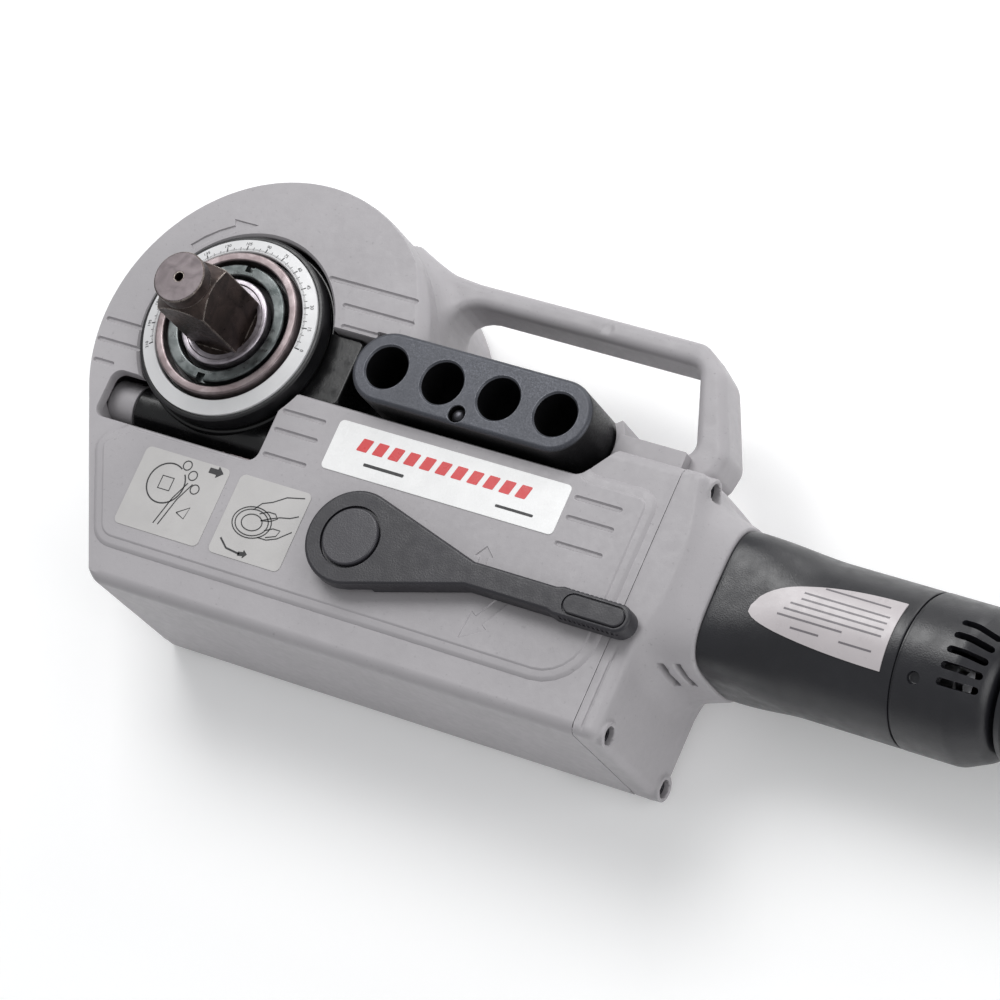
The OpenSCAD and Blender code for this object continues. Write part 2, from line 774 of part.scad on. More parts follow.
module motor_screws() {
    color(steel) for (a = [45:90:315])
        translate([0, motor_y, motor_z]) rotate([a, 0, 0]) {
            rod_x(376, 402, 0, 27.5, 2);
            rod_x(402, 404, 0, 27.5, 3.4);
        }
}

module grip_screws() {
    color(steel) for (x = [434, 530]) translate([x, motor_y + 12, motor_z]) {
        translate([0, 0, -14]) cylinder(h = 24, r = screw_r);
        translate([0, 0, -16]) cylinder(h = 3, r = screw_head_r - 0.2);
    }
}

module rubber_feet() {
    color(black) for (s = feet_at)
        translate([s.x, s.y, 0]) cylinder(h = feet_h + 1.5, r = 9.8);
}

module plate_2d(w, h, r) {
    square([w, h - 2 * r], center = true);
    square([w - 2 * r, h], center = true);
    for (x = [-1, 1], y = [-1, 1])
        translate([x * (w / 2 - r), y * (h / 2 - r)]) circle(r);
}

module name_plate() {
    color([0.92, 0.92, 0.92]) translate([137.8, -39.1, panel_z]) linear_extrude(0.4)
        plate_2d(125.7, 24.8, 3);
}

module instruction_decals() {
    color([0.75, 0.75, 0.75]) {
        translate([8, -85, panel_z]) linear_extrude(0.3) plate_2d(48, 40, 3);
        translate([58, -85, panel_z]) linear_extrude(0.3) plate_2d(40, 40, 3);
    }
}

// A curved plate on the motor housing, towards the front
module rating_plate() {
    color([0.78, 0.75, 0.76]) intersection() {
        ring_x(322, 372, motor_y, motor_z, motor_waist_r + 0.02, motor_waist_r + 0.5);
        translate([300, motor_y - 12, motor_z]) cube([90, 36, 60]);
    }
}

front_housing();
rear_cover();
end_flange();
carry_handle();
gear_case();
worm_plug();
front_bush();
rear_bush();
spindle_seal();
bearing_nut();
dial_bearing_ring();
former_block();
block_screw();
drive_bracket();
worm_bearings();
counter_bushes();
output_spindle();
final_gear();
spindle_circlip();
counter_pinion();
worm_wheel();
worm_shaft();
input_gear();
idler_shaft();
idler_gear();
dial_carrier();
scale_ring();
selector_lever();
lever_cap();
lever_shaft();
direction_switch();
motor_housing();
motor_rear_cover();
stator_core();
field_coils();
brush_holders();
carbon_brushes();
motor_bearings();
armature_shaft();
armature_core();
commutator();
cooling_fan();
grip_upper();
grip_lower();
switch_body();
trigger();
lock_button();
cable_gland();
flange_screws();
cover_screws();
motor_screws();
grip_screws();
rubber_feet();
name_plate();
instruction_decals();
rating_plate();
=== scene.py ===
"""Looks of the electric bending drive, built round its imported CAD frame.

Sizes are in millimetres until a mesh is made. X runs from the head to the grip, Y to the handle, Z up.
"""

import math
from functools import partial

import bmesh
import bpy
import numpy as np
from mathutils import Matrix, Vector


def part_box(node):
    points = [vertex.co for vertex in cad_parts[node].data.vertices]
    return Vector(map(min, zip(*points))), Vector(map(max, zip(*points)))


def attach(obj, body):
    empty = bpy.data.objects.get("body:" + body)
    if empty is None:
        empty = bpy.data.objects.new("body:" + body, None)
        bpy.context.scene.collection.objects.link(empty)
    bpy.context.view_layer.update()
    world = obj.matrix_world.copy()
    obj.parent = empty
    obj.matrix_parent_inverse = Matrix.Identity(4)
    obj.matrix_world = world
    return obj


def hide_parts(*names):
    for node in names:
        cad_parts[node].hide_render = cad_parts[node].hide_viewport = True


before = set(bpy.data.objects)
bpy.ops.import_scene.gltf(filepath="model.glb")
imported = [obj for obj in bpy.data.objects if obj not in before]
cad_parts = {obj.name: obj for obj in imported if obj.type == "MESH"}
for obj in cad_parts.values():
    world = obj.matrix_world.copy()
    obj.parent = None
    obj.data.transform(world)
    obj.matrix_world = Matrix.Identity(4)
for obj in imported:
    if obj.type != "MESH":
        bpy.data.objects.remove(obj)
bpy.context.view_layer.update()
scene = bpy.context.scene
MM = 0.001

# ---------------------------------------------------------------- sizes

HEAD = (14.0, -5.0)
HEAD_R = 87.0
SLANT = 207.5
CORNER_R = 8.0
CASE_BOTTOM = -133.5
CASE_TOP = -3.0
CASE_EDGE = 5.5
SEAM = 247.0
SEAM_GAP = 0.15
FLANGE_END = 259.5
BACK_Z = 12.0
FACE_Z = 90.0
PANEL_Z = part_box("name_plate")[0].z / MM
WALL = 5.0
DIAL_HOLE_R = 50.0
BLOCK_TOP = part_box("former_block")[1].z / MM
POCKET_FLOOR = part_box("former_block")[0].z / MM
BORE_R = 10.5
BORE_X = [91.7 + 30.4 * i for i in range(4)]
BLOCK_R = 17.6
SPINDLE_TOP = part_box("output_spindle")[1].z / MM
SQUARE_AF = 26.5
SCALE_R = (38.0, 45.0)
SCALE_Z = (98.0, 96.2)
LEVER = (112.0, -81.6)
LEVER_Z = (93.2, 103.0)
LEVER_R = 23.0
LEVER_TIP = 140.4
PAD_X = (LEVER[0] + 118, LEVER[0] + 140)
BUTTON_X = 520.0
COLLAR_END = 281.0
MOTOR_FACE = 35.0
SQUARENESS = 3.68
DIAL_ZERO = -2.6
DIAL_END = 210
BLOCK_SCREW = (BORE_X[0] + 1.45 * 30.4, -12.3)
MOTOR = (-50.0, 48.0)
MOTOR_SEAM = 374.0
WORM = (-43.0, 70.0)
GRIP_END = 556.0
GRIP_R = 22.5
FLANGE_SCREWS = [(-8.5, 80.0), (-127.5, 80.0), (-127.5, 10.5), (-8.5, 10.5)]

# ---------------------------------------------------------------- outlines


def arc(centre, radius, start, end, steps):
    """Points on an arc from start to end, in degrees."""
    angles = np.radians(np.linspace(start, end, steps + 1))
    return [(centre[0] + radius * math.cos(a), centre[1] + radius * math.sin(a)) for a in angles]


def outline(corners, inset=0.0, steps=6):
    """A polygon of corners (x, y, radius), anticlockwise, drawn in by inset. Radius 0 is sharp."""
    points = []
    count = len(corners)
    for i in range(count):
        before, here, after = (Vector(corners[(i + k) % count][:2]) for k in (-1, 0, 1))
        u, v = (here - before).normalized(), (after - here).normalized()
        left_u, left_v = Vector((-u.y, u.x)), Vector((-v.y, v.x))
        corner = here + (left_u + left_v) * (inset / (1 + left_u.dot(left_v)))
        turn = math.atan2(u.x * v.y - u.y * v.x, u.dot(v))
        if corners[i][2] == 0:
            points.append(tuple(corner))
            continue
        side = 1 if turn > 0 else -1
        radius = max(corners[i][2] - side * inset, 0.05)
        centre = corner - u * radius * math.tan(abs(turn) / 2) + left_u * radius * side
        start = math.degrees(math.atan2(-left_u.y * side, -left_u.x * side))
        points += arc(centre, radius, start, start + math.degrees(turn), steps)
    return points


def stadium(x0, x1, y, radius, inset=0.0, steps=16):
    """A slot's outline from x0 to x1, the centres of its round ends."""
    r = radius - inset
    return arc((x1, y), r, -90, 90, steps) + arc((x0, y), r, 90, 270, steps)


def circle(x, y, radius, inset=0.0, steps=64):
    return arc((x, y), radius - inset, 0, 360, steps)[:-1]


def case_loop(inset=0.0, right=SEAM - SEAM_GAP):
    """The case from the front, drawn in by inset except at its motor end."""
    r = HEAD_R - inset
    top = CASE_TOP - inset - HEAD[1]
    lean = math.radians(SLANT)
    corner_y = CASE_BOTTOM + CORNER_R
    reach = HEAD[0] * math.cos(lean) + HEAD[1] * math.sin(lean) + HEAD_R - CORNER_R
    corner_x = (reach - math.sin(lean) * corner_y) / math.cos(lean)
    points = arc(HEAD, r, math.degrees(math.asin(top / r)), SLANT, 80)
    points += arc((corner_x, corner_y), CORNER_R - inset, SLANT, 270, 8)
    return points + [(right, CASE_BOTTOM + inset), (right, CASE_TOP - inset)]


def edged_loop(inset=0.0):
    """The case drawn in by a share of inset: little round the head's left, more at its right."""
    whole, drawn = case_loop(0.0), case_loop(inset)
    shares = [float(np.interp(SLANT * k / 80, [0, 25, 45, SLANT], [1.6, 1.6, 0.15, 0.15]))
              for k in range(81)]
    shares += [0.15 + 0.85 * k / 8 for k in range(9)] + [1.0, 1.0]
    return [(x + (u - x) * w, y + (v - y) * w) for (x, y), (u, v), w in zip(whole, drawn, shares)]


PANEL = [(-22.5, -117, 14), (243, -117, 25), (243, -18, 10), (207, -18, 3), (200, -14, 3), (36, -14, 3),
         (36, -54, 3), (-28, -54, 6), (-47, -68, 9)]
POCKET = [(40, -20, 3), (200, -20, 7), (213, -3, 1), (202, -3, 1), (202, 18.5, 2), (72, 18.5, 1),
          (72, 15, 1), (40, 15, 2)]
WINDOW = [(-53, -57, 4), (40, -57, 4), (40, 0, 0), (-36, 0, 0), (-36, -33.5, 0), (-53, -33.5, 5)]
HANDLE_OUTER = [(60, 0, 0), (203, 0, 0), (203, -3, 0), (247.5, -3, 2), (252, 3, 5), (253.7, 13, 8),
                (235.5, 50.5, 16), (221, 61.8, 12), (98, 61.8, 16), (84, 63, 20), (56, 70.5, 0)]
FEET = [(0, 0), (-3, -121.5), (214, -122), (214, -18), (8, 66)]
COVER_SCREWS = [(55, -126), (157, -126), (20, 76), (77, 42), (-30, -98), (158, -11)]
HANDLE_OPENING = [(90, 5, 0), (201, 5, 0), (201, 7.6, 2), (238.5, 7.6, 6), (222, 50.5, 8), (90, 50.5, 16)]

# ---------------------------------------------------------------- meshes


def placed(name, data):
    """A new object in the scene with this mesh, curve, light or camera."""
    obj = bpy.data.objects.new(name, data)
    scene.collection.objects.link(obj)
    return obj


def new_object(name, points, faces):
    mesh = bpy.data.meshes.new(name)
    mesh.from_pydata((np.asarray(points, float) * MM).tolist(), [], faces)
    mesh.update()
    return placed(name, mesh)


def skin(name, rows, closed=False):
    """A solid through rows of points of one count. A closed one joins its last row to its first."""
    n, m = len(rows[0]), len(rows)
    points = [p for row in rows for p in row]
    faces = []
    for k in range(m if closed else m - 1):
        a, b = k * n, (k + 1) % m * n
        faces += [(a + i, a + (i + 1) % n, b + (i + 1) % n, b + i) for i in range(n)]
    if not closed:
        faces.append(tuple(range(n - 1, -1, -1)))
        faces.append(tuple(range((m - 1) * n, m * n)))
    return new_object(name, points, faces)


def stack(name, loop, levels):
    """A solid whose outline is loop(inset) at each level (inset, z)."""
    return skin(name, [[(x, y, z) for x, y in loop(inset)] for inset, z in levels])


def top_edge(radius, z, steps=5):
    """Levels of a rounded upper edge that ends at z."""
    angles = np.linspace(0, math.pi / 2, steps + 1)
    return [(radius * (1 - math.cos(a)), z - radius * (1 - math.sin(a))) for a in angles]


def foot_edge(radius, z, steps=3):
    """Levels of a rounded lower edge that starts at z."""
    return [(inset, 2 * z - height) for inset, height in reversed(top_edge(radius, z, steps))]


def lathe(name, corners, axis="z", at=(0.0, 0.0), segments=128, steps=4):
    """A turned solid. Its section's corners are (radius, height, fillet), anticlockwise."""
    section = outline(corners, 0, steps)
    solid = section[0][0] < 1e-6
    section = [p for p in section if p[0] > 1e-6]
    turn = np.linspace(0, 2 * math.pi, segments, endpoint=False)
    rows = []
    for r, h in section:
        ring = [(at[0] + r * math.cos(a), at[1] + r * math.sin(a)) for a in turn]
        rows.append([(p, q, h) if axis == "z" else (h, p, q) for p, q in ring])
    return skin(name, rows, closed=not solid)


def rod(name, radius, low, high, axis="z", at=(0.0, 0.0), segments=128):
    """A plain round bar from low to high along its axis."""
    return lathe(name, [(0, low, 0), (radius, low, 0), (radius, high, 0), (0, high, 0)], axis, at, segments)


def box(name, low, high, radius=0.0):
    """A block with its upright edges rounded."""
    corners = [(low[0], low[1], radius), (high[0], low[1], radius), (high[0], high[1], radius),
               (low[0], high[1], radius)]
    return stack(name, partial(outline, corners), [(0, low[2]), (0, high[2])])


def bake(obj):
    """Applies an object's modifiers."""
    seen = obj.evaluated_get(bpy.context.evaluated_depsgraph_get())
    mesh = bpy.data.meshes.new_from_object(seen)
    obj.modifiers.clear()
    obj.data = mesh
    return obj


def boolean(obj, operation, tools):
    for tool in tools:
        modifier = obj.modifiers.new("boolean", "BOOLEAN")
        modifier.solver = "MANIFOLD"
        modifier.operation = operation
        modifier.object = tool
    bake(obj)
    for tool in tools:
        bpy.data.objects.remove(tool)
    return obj


def cut(obj, *tools):
    return boolean(obj, "DIFFERENCE", tools)


def fuse(obj, *tools):
    return boolean(obj, "UNION", tools)


def rotated(obj, angle, axis, pivot):
    """Turns an object's mesh about an axis through pivot, in degrees."""
    pivot = Vector(pivot) * MM
    about = Matrix.Rotation(math.radians(angle), 4, axis)
    turn = Matrix.Translation(pivot) @ about @ Matrix.Translation(-pivot)
    obj.data.transform(turn)
    return obj


def merged(name, objects):
    """One object that holds the meshes of several."""
    mesh = bpy.data.meshes.new(name)
    whole = bmesh.new()
    for obj in objects:
        whole.from_mesh(obj.data)
        bpy.data.objects.remove(obj)
    whole.to_mesh(mesh)
    whole.free()
    return placed(name, mesh)


# ---------------------------------------------------------------- smooth solids from distance fields


def net(name, field, low, high, cell):
    """A closed mesh round the space where field is negative, moved onto its surface."""
    axes = [np.arange(l, h + cell, cell) for l, h in zip(low, high)]
    d = field(*np.meshgrid(*axes, indexing="ij"))
    cells = tuple(n - 1 for n in d.shape)
    total = np.zeros(cells + (3,))
    count = np.zeros(cells)
    crossings = []
    for axis in range(3):
        o1, o2 = (axis + 1) % 3, (axis + 2) % 3
        d0 = np.take(d, range(0, d.shape[axis] - 1), axis)
        d1 = np.take(d, range(1, d.shape[axis]), axis)
        crossed = (d0 < 0) != (d1 < 0)
        share = np.where(crossed, d0 / np.where(crossed, d0 - d1, 1), 0)
        crossings.append((crossed, d0 < 0))
        for a in (0, 1):
            for b in (0, 1):
                part = [slice(None)] * 3
                part[o1] = slice(a, a + cells[o1])
                part[o2] = slice(b, b + cells[o2])
                hit = crossed[tuple(part)]
                total[..., axis] += share[tuple(part)] * hit
                total[..., o1] += a * hit
                total[..., o2] += b * hit
                count += hit
    used = np.argwhere(count > 0)
    index = np.full(cells, -1)
    index[tuple(used.T)] = np.arange(len(used))
    points = used + total[tuple(used.T)] / count[tuple(used.T)][:, None]
    points = np.asarray(low) + points * cell
    faces = []
    for axis, (crossed, inside) in enumerate(crossings):
        o1, o2 = (axis + 1) % 3, (axis + 2) % 3
        at = np.argwhere(crossed)
        at = at[(at[:, o1] > 0) & (at[:, o2] > 0) & (at[:, o1] < cells[o1]) & (at[:, o2] < cells[o2])]
        quad = []
        for a, b in ((1, 1), (0, 1), (0, 0), (1, 0)):
            spot = at.copy()
            spot[:, o1] -= a
            spot[:, o2] -= b
            quad.append(index[tuple(spot.T)])
        quad = np.stack(quad, 1)
        outward = inside[tuple(at.T)]
        quad[~outward] = quad[~outward][:, ::-1]
        faces.append(quad)
    for _ in range(2):
        here = field(*points.T)
        step = 0.05
        slope = np.stack([(field(*(points + step * e).T) - here) / step for e in np.eye(3)], 1)
        size = np.maximum((slope ** 2).sum(1), 0.25)
        move = -(here / size)[:, None] * slope
        far = np.maximum(np.linalg.norm(move, axis=1) / (0.4 * cell), 1)
        points = points + move / far[:, None]
    return new_object(name, points, np.concatenate(faces).tolist())


def polygon_distance(x, y, points):
    """Signed distance to a polygon, negative inside."""
    points = np.asarray(points, float)
    best = np.full(x.shape, np.inf)
    inside = np.zeros(x.shape, bool)
    for (ax, ay), (bx, by) in zip(points, np.roll(points, -1, 0)):
        ex, ey = bx - ax, by - ay
        if ex * ex + ey * ey < 1e-12:
            continue
        t = np.clip(((x - ax) * ex + (y - ay) * ey) / (ex * ex + ey * ey), 0, 1)
        best = np.minimum(best, (x - ax - t * ex) ** 2 + (y - ay - t * ey) ** 2)
        if ey != 0:
            inside ^= ((ay > y) != (by > y)) & (x < ex * (y - ay) / ey + ax)
    return np.where(inside, -1, 1) * np.sqrt(best)


def rounded_join(a, b, radius):
    """Where two distances both bound a solid, its edge gets this radius."""
    return np.minimum(np.maximum(a + radius, b + radius), 0) + np.hypot(
        np.maximum(a + radius, 0), np.maximum(b + radius, 0)) - radius


def blend_union(a, b, size):
    h = np.clip(0.5 + 0.5 * (b - a) / size, 0, 1)
    return b + (a - b) * h - size * h * (1 - h)


def rounded_box(x, y, z, low, high, radius):
    q = [np.abs(v - (l + h) / 2) - (h - l) / 2 + radius for v, l, h in zip((x, y, z), low, high)]
    outside = np.sqrt(sum(np.maximum(v, 0) ** 2 for v in q))
    return outside + np.minimum(np.maximum(np.maximum(q[0], q[1]), q[2]), 0) - radius


# ---------------------------------------------------------------- materials


def rgb(r, g, b):
    """A display colour in linear light, with alpha."""
    return tuple(((c / 255 + 0.055) / 1.055) ** 2.4 if c > 10 else c / 255 / 12.92
                 for c in (r, g, b)) + (1.0,)


def scaled(colour, share):
    return tuple(min(c * share, 1.0) for c in colour[:3]) + (1.0,)


class Surface:
    """A Principled material with helpers that add procedural layers to it. Lengths are in metres."""

    def __init__(self, name, roughness=0.5, metallic=0.0, **sockets):
        self.material = bpy.data.materials.new(name)
        self.material.use_nodes = True
        self.nodes = self.material.node_tree.nodes
        self.links = self.material.node_tree.links
        self.shader = self.nodes["Principled BSDF"]
        self.shader.inputs["Roughness"].default_value = roughness
        self.shader.inputs["Metallic"].default_value = metallic
        for socket, value in sockets.items():
            self.shader.inputs[socket.replace("_", " ")].default_value = value
        self.place = self.add("TexCoord", "Object")
        self.normal = None

    def feed(self, socket, value):
        """Gives a socket a value or a link."""
        if isinstance(value, bpy.types.NodeSocket):
            self.links.new(value, socket)
        else:
            socket.default_value = value

    def add(self, kind, output, inputs=(), **settings):
        """Adds a node and returns one of its outputs. Inputs are pairs of a socket and what feeds it."""
        node = self.nodes.new("ShaderNode" + kind)
        for setting, value in settings.items():
            setattr(node, setting, value)
        for socket, value in inputs:
            self.feed(node.inputs[socket], value)
        return node.outputs[output]

    def noise(self, size, detail=2.0, stretch=(1, 1, 1), distortion=0.0):
        """Noise whose features are about size across, drawn out along each axis by stretch."""
        place = self.add("Mapping", "Vector", [("Scale", [1 / s for s in stretch]), ("Vector", self.place)])
        return self.add("TexNoise", "Fac", [("Scale", 1 / size), ("Detail", detail),
                                            ("Distortion", distortion), ("Vector", place)])

    def cells(self, size):
        return self.add("TexVoronoi", "Distance", [("Scale", 1 / size), ("Vector", self.place)])

    def range(self, value, low, high, to_low=0.0, to_high=1.0):
        return self.add("MapRange", "Result", [("From Min", low), ("From Max", high), ("To Min", to_low),
                                               ("To Max", to_high), ("Value", value)])

    def times(self, a, b):
        return self.add("Math", 0, [(0, a), (1, b)], operation="MULTIPLY")

    def mix(self, share, a, b):
        """Colour a where share is 0 and b where it is 1. Each is a colour or a socket."""
        return self.add("Mix", 2, [("Factor", share), (6, a), (7, b)], data_type="RGBA")

    def edges(self, width):
        """1 on flat ground, falling on edges, within about width of them."""
        rounded = self.add("Bevel", "Normal", [("Radius", width)], samples=4)
        plain = self.add("NewGeometry", "Normal")
        return self.add("VectorMath", "Value", [(0, rounded), (1, plain)], operation="DOT_PRODUCT")

    def upward(self):
        """1 on faces that point up, 0 on upright ones."""
        plain = self.add("NewGeometry", "True Normal")
        return self.range(self.add("SeparateXYZ", "Z", [(0, plain)]), 0.15, 0.6)

    def colour(self, value):
        self.feed(self.shader.inputs["Base Color"], value)

    def roughness(self, value):
        self.feed(self.shader.inputs["Roughness"], value)

    def bump(self, height, depth, strength=1.0):
        inputs = [("Distance", depth), ("Strength", strength), ("Height", height)]
        if self.normal:
            inputs.append(("Normal", self.normal))
        self.normal = self.add("Bump", "Normal", inputs)
        self.feed(self.shader.inputs["Normal"], self.normal)


def cast_paint():
    s = Surface("cast_paint", roughness=0.5)
    base = rgb(165, 162, 165)
    mottle = s.range(s.noise(0.035, 3), 0.3, 0.7)
    tone = s.mix(mottle, scaled(base, 0.95), scaled(base, 1.03))
    dust = s.range(s.noise(0.0016, 2), 0.66, 0.76)
    tone = s.mix(dust, tone, scaled(base, 0.82))
    worn = s.range(s.edges(0.0009), 0.985, 0.9)
    worn = s.times(worn, s.range(s.noise(0.006, 3), 0.42, 0.62))
    s.colour(s.mix(worn, tone, scaled(base, 1.25)))
    s.roughness(s.range(s.noise(0.004, 3), 0.3, 0.7, 0.42, 0.6))
    s.bump(s.noise(0.0022, 2), 0.00012, 0.5)
    s.bump(s.noise(0.0006, 2), 0.00005, 0.5)
    return s.material


def black_paint(name="black_paint", base=rgb(15, 15, 16), roughness=(0.16, 0.32)):
    s = Surface(name, roughness=0.3)
    smear = s.range(s.noise(0.012, 4, distortion=0.6), 0.4, 0.75)
    s.colour(s.mix(smear, base, scaled(base, 1.6)))
    s.roughness(s.range(s.noise(0.005, 3), 0.3, 0.7, *roughness))
    s.bump(s.noise(0.0014, 2), 0.00004, 0.6)
    return s.material


def block_finish():
    s = Surface("block_finish", roughness=0.42, metallic=0.35)
    base = rgb(72, 74, 81)
    speck = s.range(s.noise(0.0007, 2), 0.4, 0.66)
    tone = s.mix(speck, scaled(base, 0.82), scaled(base, 1.25))
    tone = s.mix(s.range(s.noise(0.02, 3), 0.35, 0.7), tone, scaled(base, 0.85))
    worn = s.range(s.edges(0.0008), 0.98, 0.82)
    worn = s.times(worn, s.range(s.noise(0.003, 3), 0.3, 0.55))
    # Painted shade: upright faces are darkened to near black rgb(18, 18, 20) by their direction, and only
    # faces that point up keep the block's tone.
    tone = s.mix(s.upward(), rgb(18, 18, 20), tone)
    s.colour(s.mix(worn, tone, rgb(150, 152, 160)))
    s.roughness(s.range(s.noise(0.0009, 2), 0.3, 0.7, 0.34, 0.55))
    s.bump(s.noise(0.0006, 2), 0.00006, 0.7)
    return s.material


def oxide_steel():
    s = Surface("oxide_steel", roughness=0.36, metallic=0.75)
    base = rgb(52, 44, 42)
    stain = s.range(s.noise(0.009, 4, distortion=1.0), 0.35, 0.7)
    tone = s.mix(stain, base, rgb(78, 66, 62))
    scratch = s.range(s.noise(0.0007, 3, stretch=(1, 1, 14)), 0.7, 0.8)
    tone = s.mix(scratch, tone, rgb(128, 116, 110))
    worn = s.range(s.edges(0.0011), 0.985, 0.84)
    worn = s.times(worn, s.range(s.noise(0.0035, 3), 0.3, 0.52))
    s.colour(s.mix(worn, tone, rgb(206, 196, 188)))
    s.roughness(s.range(s.noise(0.0016, 3), 0.3, 0.7, 0.26, 0.48))
    s.bump(s.noise(0.0009, 2, stretch=(1, 1, 6)), 0.00005, 0.6)
    return s.material


def turned_metal(name, base, light, roughness=(0.2, 0.38), metallic=0.95, marks=0.0006):
    """Bare metal off a lathe, with smears and fine marks."""
    s = Surface(name, roughness=0.3, metallic=metallic)
    smear = s.range(s.noise(0.008, 4, distortion=0.8), 0.35, 0.7)
    s.colour(s.mix(smear, base, light))
    s.roughness(s.range(s.noise(0.003, 3), 0.3, 0.7, *roughness))
    s.bump(s.noise(marks, 2), 0.00004, 0.6)
    return s.material


def moulded(name, base, roughness=(0.42, 0.56), grain=0.0008, depth=0.00006, light=1.25):
    """Moulded plastic with a fine even grain."""
    s = Surface(name, roughness=0.5)
    cloud = s.range(s.noise(0.03, 3), 0.35, 0.7)
    tone = s.mix(cloud, base, scaled(base, light))
    rubbed = s.range(s.edges(0.0007), 0.985, 0.86)
    rubbed = s.times(rubbed, s.range(s.noise(0.004, 3), 0.35, 0.6))
    s.colour(s.mix(rubbed, tone, scaled(base, 2.2)))
    s.roughness(s.range(s.noise(0.006, 3), 0.3, 0.7, *roughness))
    s.bump(s.cells(grain), depth, 0.6)
    return s.material


def printed(name, base, roughness=(0.3, 0.42)):
    """Printed film or paint on a label."""
    s = Surface(name, roughness=0.35)
    s.colour(s.mix(s.range(s.noise(0.012, 3), 0.35, 0.7), base, scaled(base, 0.94)))
    s.roughness(s.range(s.noise(0.004, 2), 0.3, 0.7, *roughness))
    s.bump(s.noise(0.0015, 2), 0.00002, 0.5)
    return s.material


LOOKS = {
    "paint": cast_paint(),
    "black": black_paint(),
    "carrier": black_paint("dial_black_paint", rgb(20, 20, 22), (0.3, 0.45)),
    "block": block_finish(),
    "oxide": oxide_steel(),
    "collar": turned_metal("worn_collar", rgb(150, 143, 150), rgb(196, 190, 196), (0.3, 0.5)),
    # A lighter copy of the spindle steel for its up-facing end face: painted highlight.
    "painted_highlight_face": turned_metal("painted_highlight_face", rgb(98, 91, 93), rgb(124, 116, 118), (0.34, 0.48), 0.8),
    "nut": turned_metal("bearing_nut_steel", rgb(70, 75, 75), rgb(118, 122, 122), (0.24, 0.42)),
    "bronze": turned_metal("bearing_bronze", rgb(122, 110, 111), rgb(158, 147, 148), (0.3, 0.46)),
    "gear": turned_metal("gear_steel", rgb(150, 150, 154), rgb(190, 190, 194), (0.3, 0.45)),
    "zinc": turned_metal("zinc_plated", rgb(150, 152, 156), rgb(205, 206, 208), (0.24, 0.4)),
    "dark_screw": turned_metal("blackened_screw", rgb(40, 40, 44), rgb(84, 84, 90), (0.25, 0.42), 0.8),
    "copper": turned_metal("copper_wire", rgb(176, 98, 60), rgb(212, 134, 92), (0.25, 0.4), 0.9, 0.0004),
    "brass": turned_metal("brass", rgb(186, 152, 84), rgb(214, 184, 118), (0.24, 0.4)),
    "laminated": turned_metal("lamination_steel", rgb(96, 96, 100), rgb(132, 132, 136), (0.4, 0.6), 0.8,
                              0.0004),
    "lever": moulded("lever_plastic", rgb(38, 37, 42), (0.36, 0.5)),
    "lever_cap": moulded("lever_cap_plastic", rgb(54, 53, 58), (0.34, 0.46)),
    "motor": moulded("motor_plastic", rgb(28, 28, 32), (0.28, 0.42), 0.0007, 0.00007),
    "switch": moulded("switch_plastic", rgb(40, 40, 43), (0.4, 0.55)),
    "rubber": moulded("foot_rubber", rgb(30, 30, 31), (0.65, 0.8), 0.0011, 0.0001),
    "dial_white": printed("dial_white", rgb(212, 212, 213)),
    "ink": printed("dial_ink", rgb(30, 30, 33), (0.4, 0.5)),
    "label": printed("label_white", rgb(235, 235, 235), (0.22, 0.32)),
    "red": printed("label_red", rgb(206, 44, 48), (0.25, 0.35)),
    "film": printed("decal_film", rgb(186, 184, 183), (0.28, 0.4)),
    "rating": printed("rating_film", rgb(190, 184, 186), (0.25, 0.4)),
    "grey_ink": printed("grey_ink", rgb(110, 106, 110), (0.35, 0.45)),
}


def piece(obj, look, body, slot, *nodes, angle=38):
    """Shades a finished mesh, gives it its material, parents it to its CAD body's empty and hides the CAD
    nodes it replaces.
    """
    obj.data.shade_smooth()
    obj.data.set_sharp_from_angle(angle=math.radians(angle))
    weights = obj.modifiers.new("normals", "WEIGHTED_NORMAL")
    weights.keep_sharp = True
    obj.data.materials.clear()
    obj.data.materials.append(LOOKS[look])
    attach(obj, body)
    if nodes:
        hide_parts(*nodes)
    return obj


# ---------------------------------------------------------------- case


def groove(x0, x1, y, z, half=1.2, depth=1.2):
    """A cutter for a shallow groove with a rounded bottom."""
    levels = [(0.6 * half, z - depth), (0.2 * half, z - 0.6 * depth), (0, z - 0.1), (-0.35, z + 0.15),
              (-0.35, z + 4)]
    return stack("groove", partial(stadium, x0, x1, y, half, steps=6), levels)


def engraving(corners, z, depth=0.6):
    """A cutter for a sunk mark."""
    levels = [(0.35, z - depth), (0, z - 0.05), (-0.25, z + 0.15), (-0.25, z + 4)]
    return stack("mark", partial(outline, corners, steps=3), levels)


def arrow(x, y, length, width, angle):
    """The outline of a plain arrow that points along angle, in degrees, from its tail at x, y."""
    half = width / 2
    neck = length * 0.55
    shape = [(0, -half / 2.2), (neck, -half / 2.2), (neck, -half), (length, 0), (neck, half),
             (neck, half / 2.2), (0, half / 2.2)]
    c, s = math.cos(math.radians(angle)), math.sin(math.radians(angle))
    return [(x + c * u - s * v, y + s * u + c * v, 0.3) for u, v in shape]


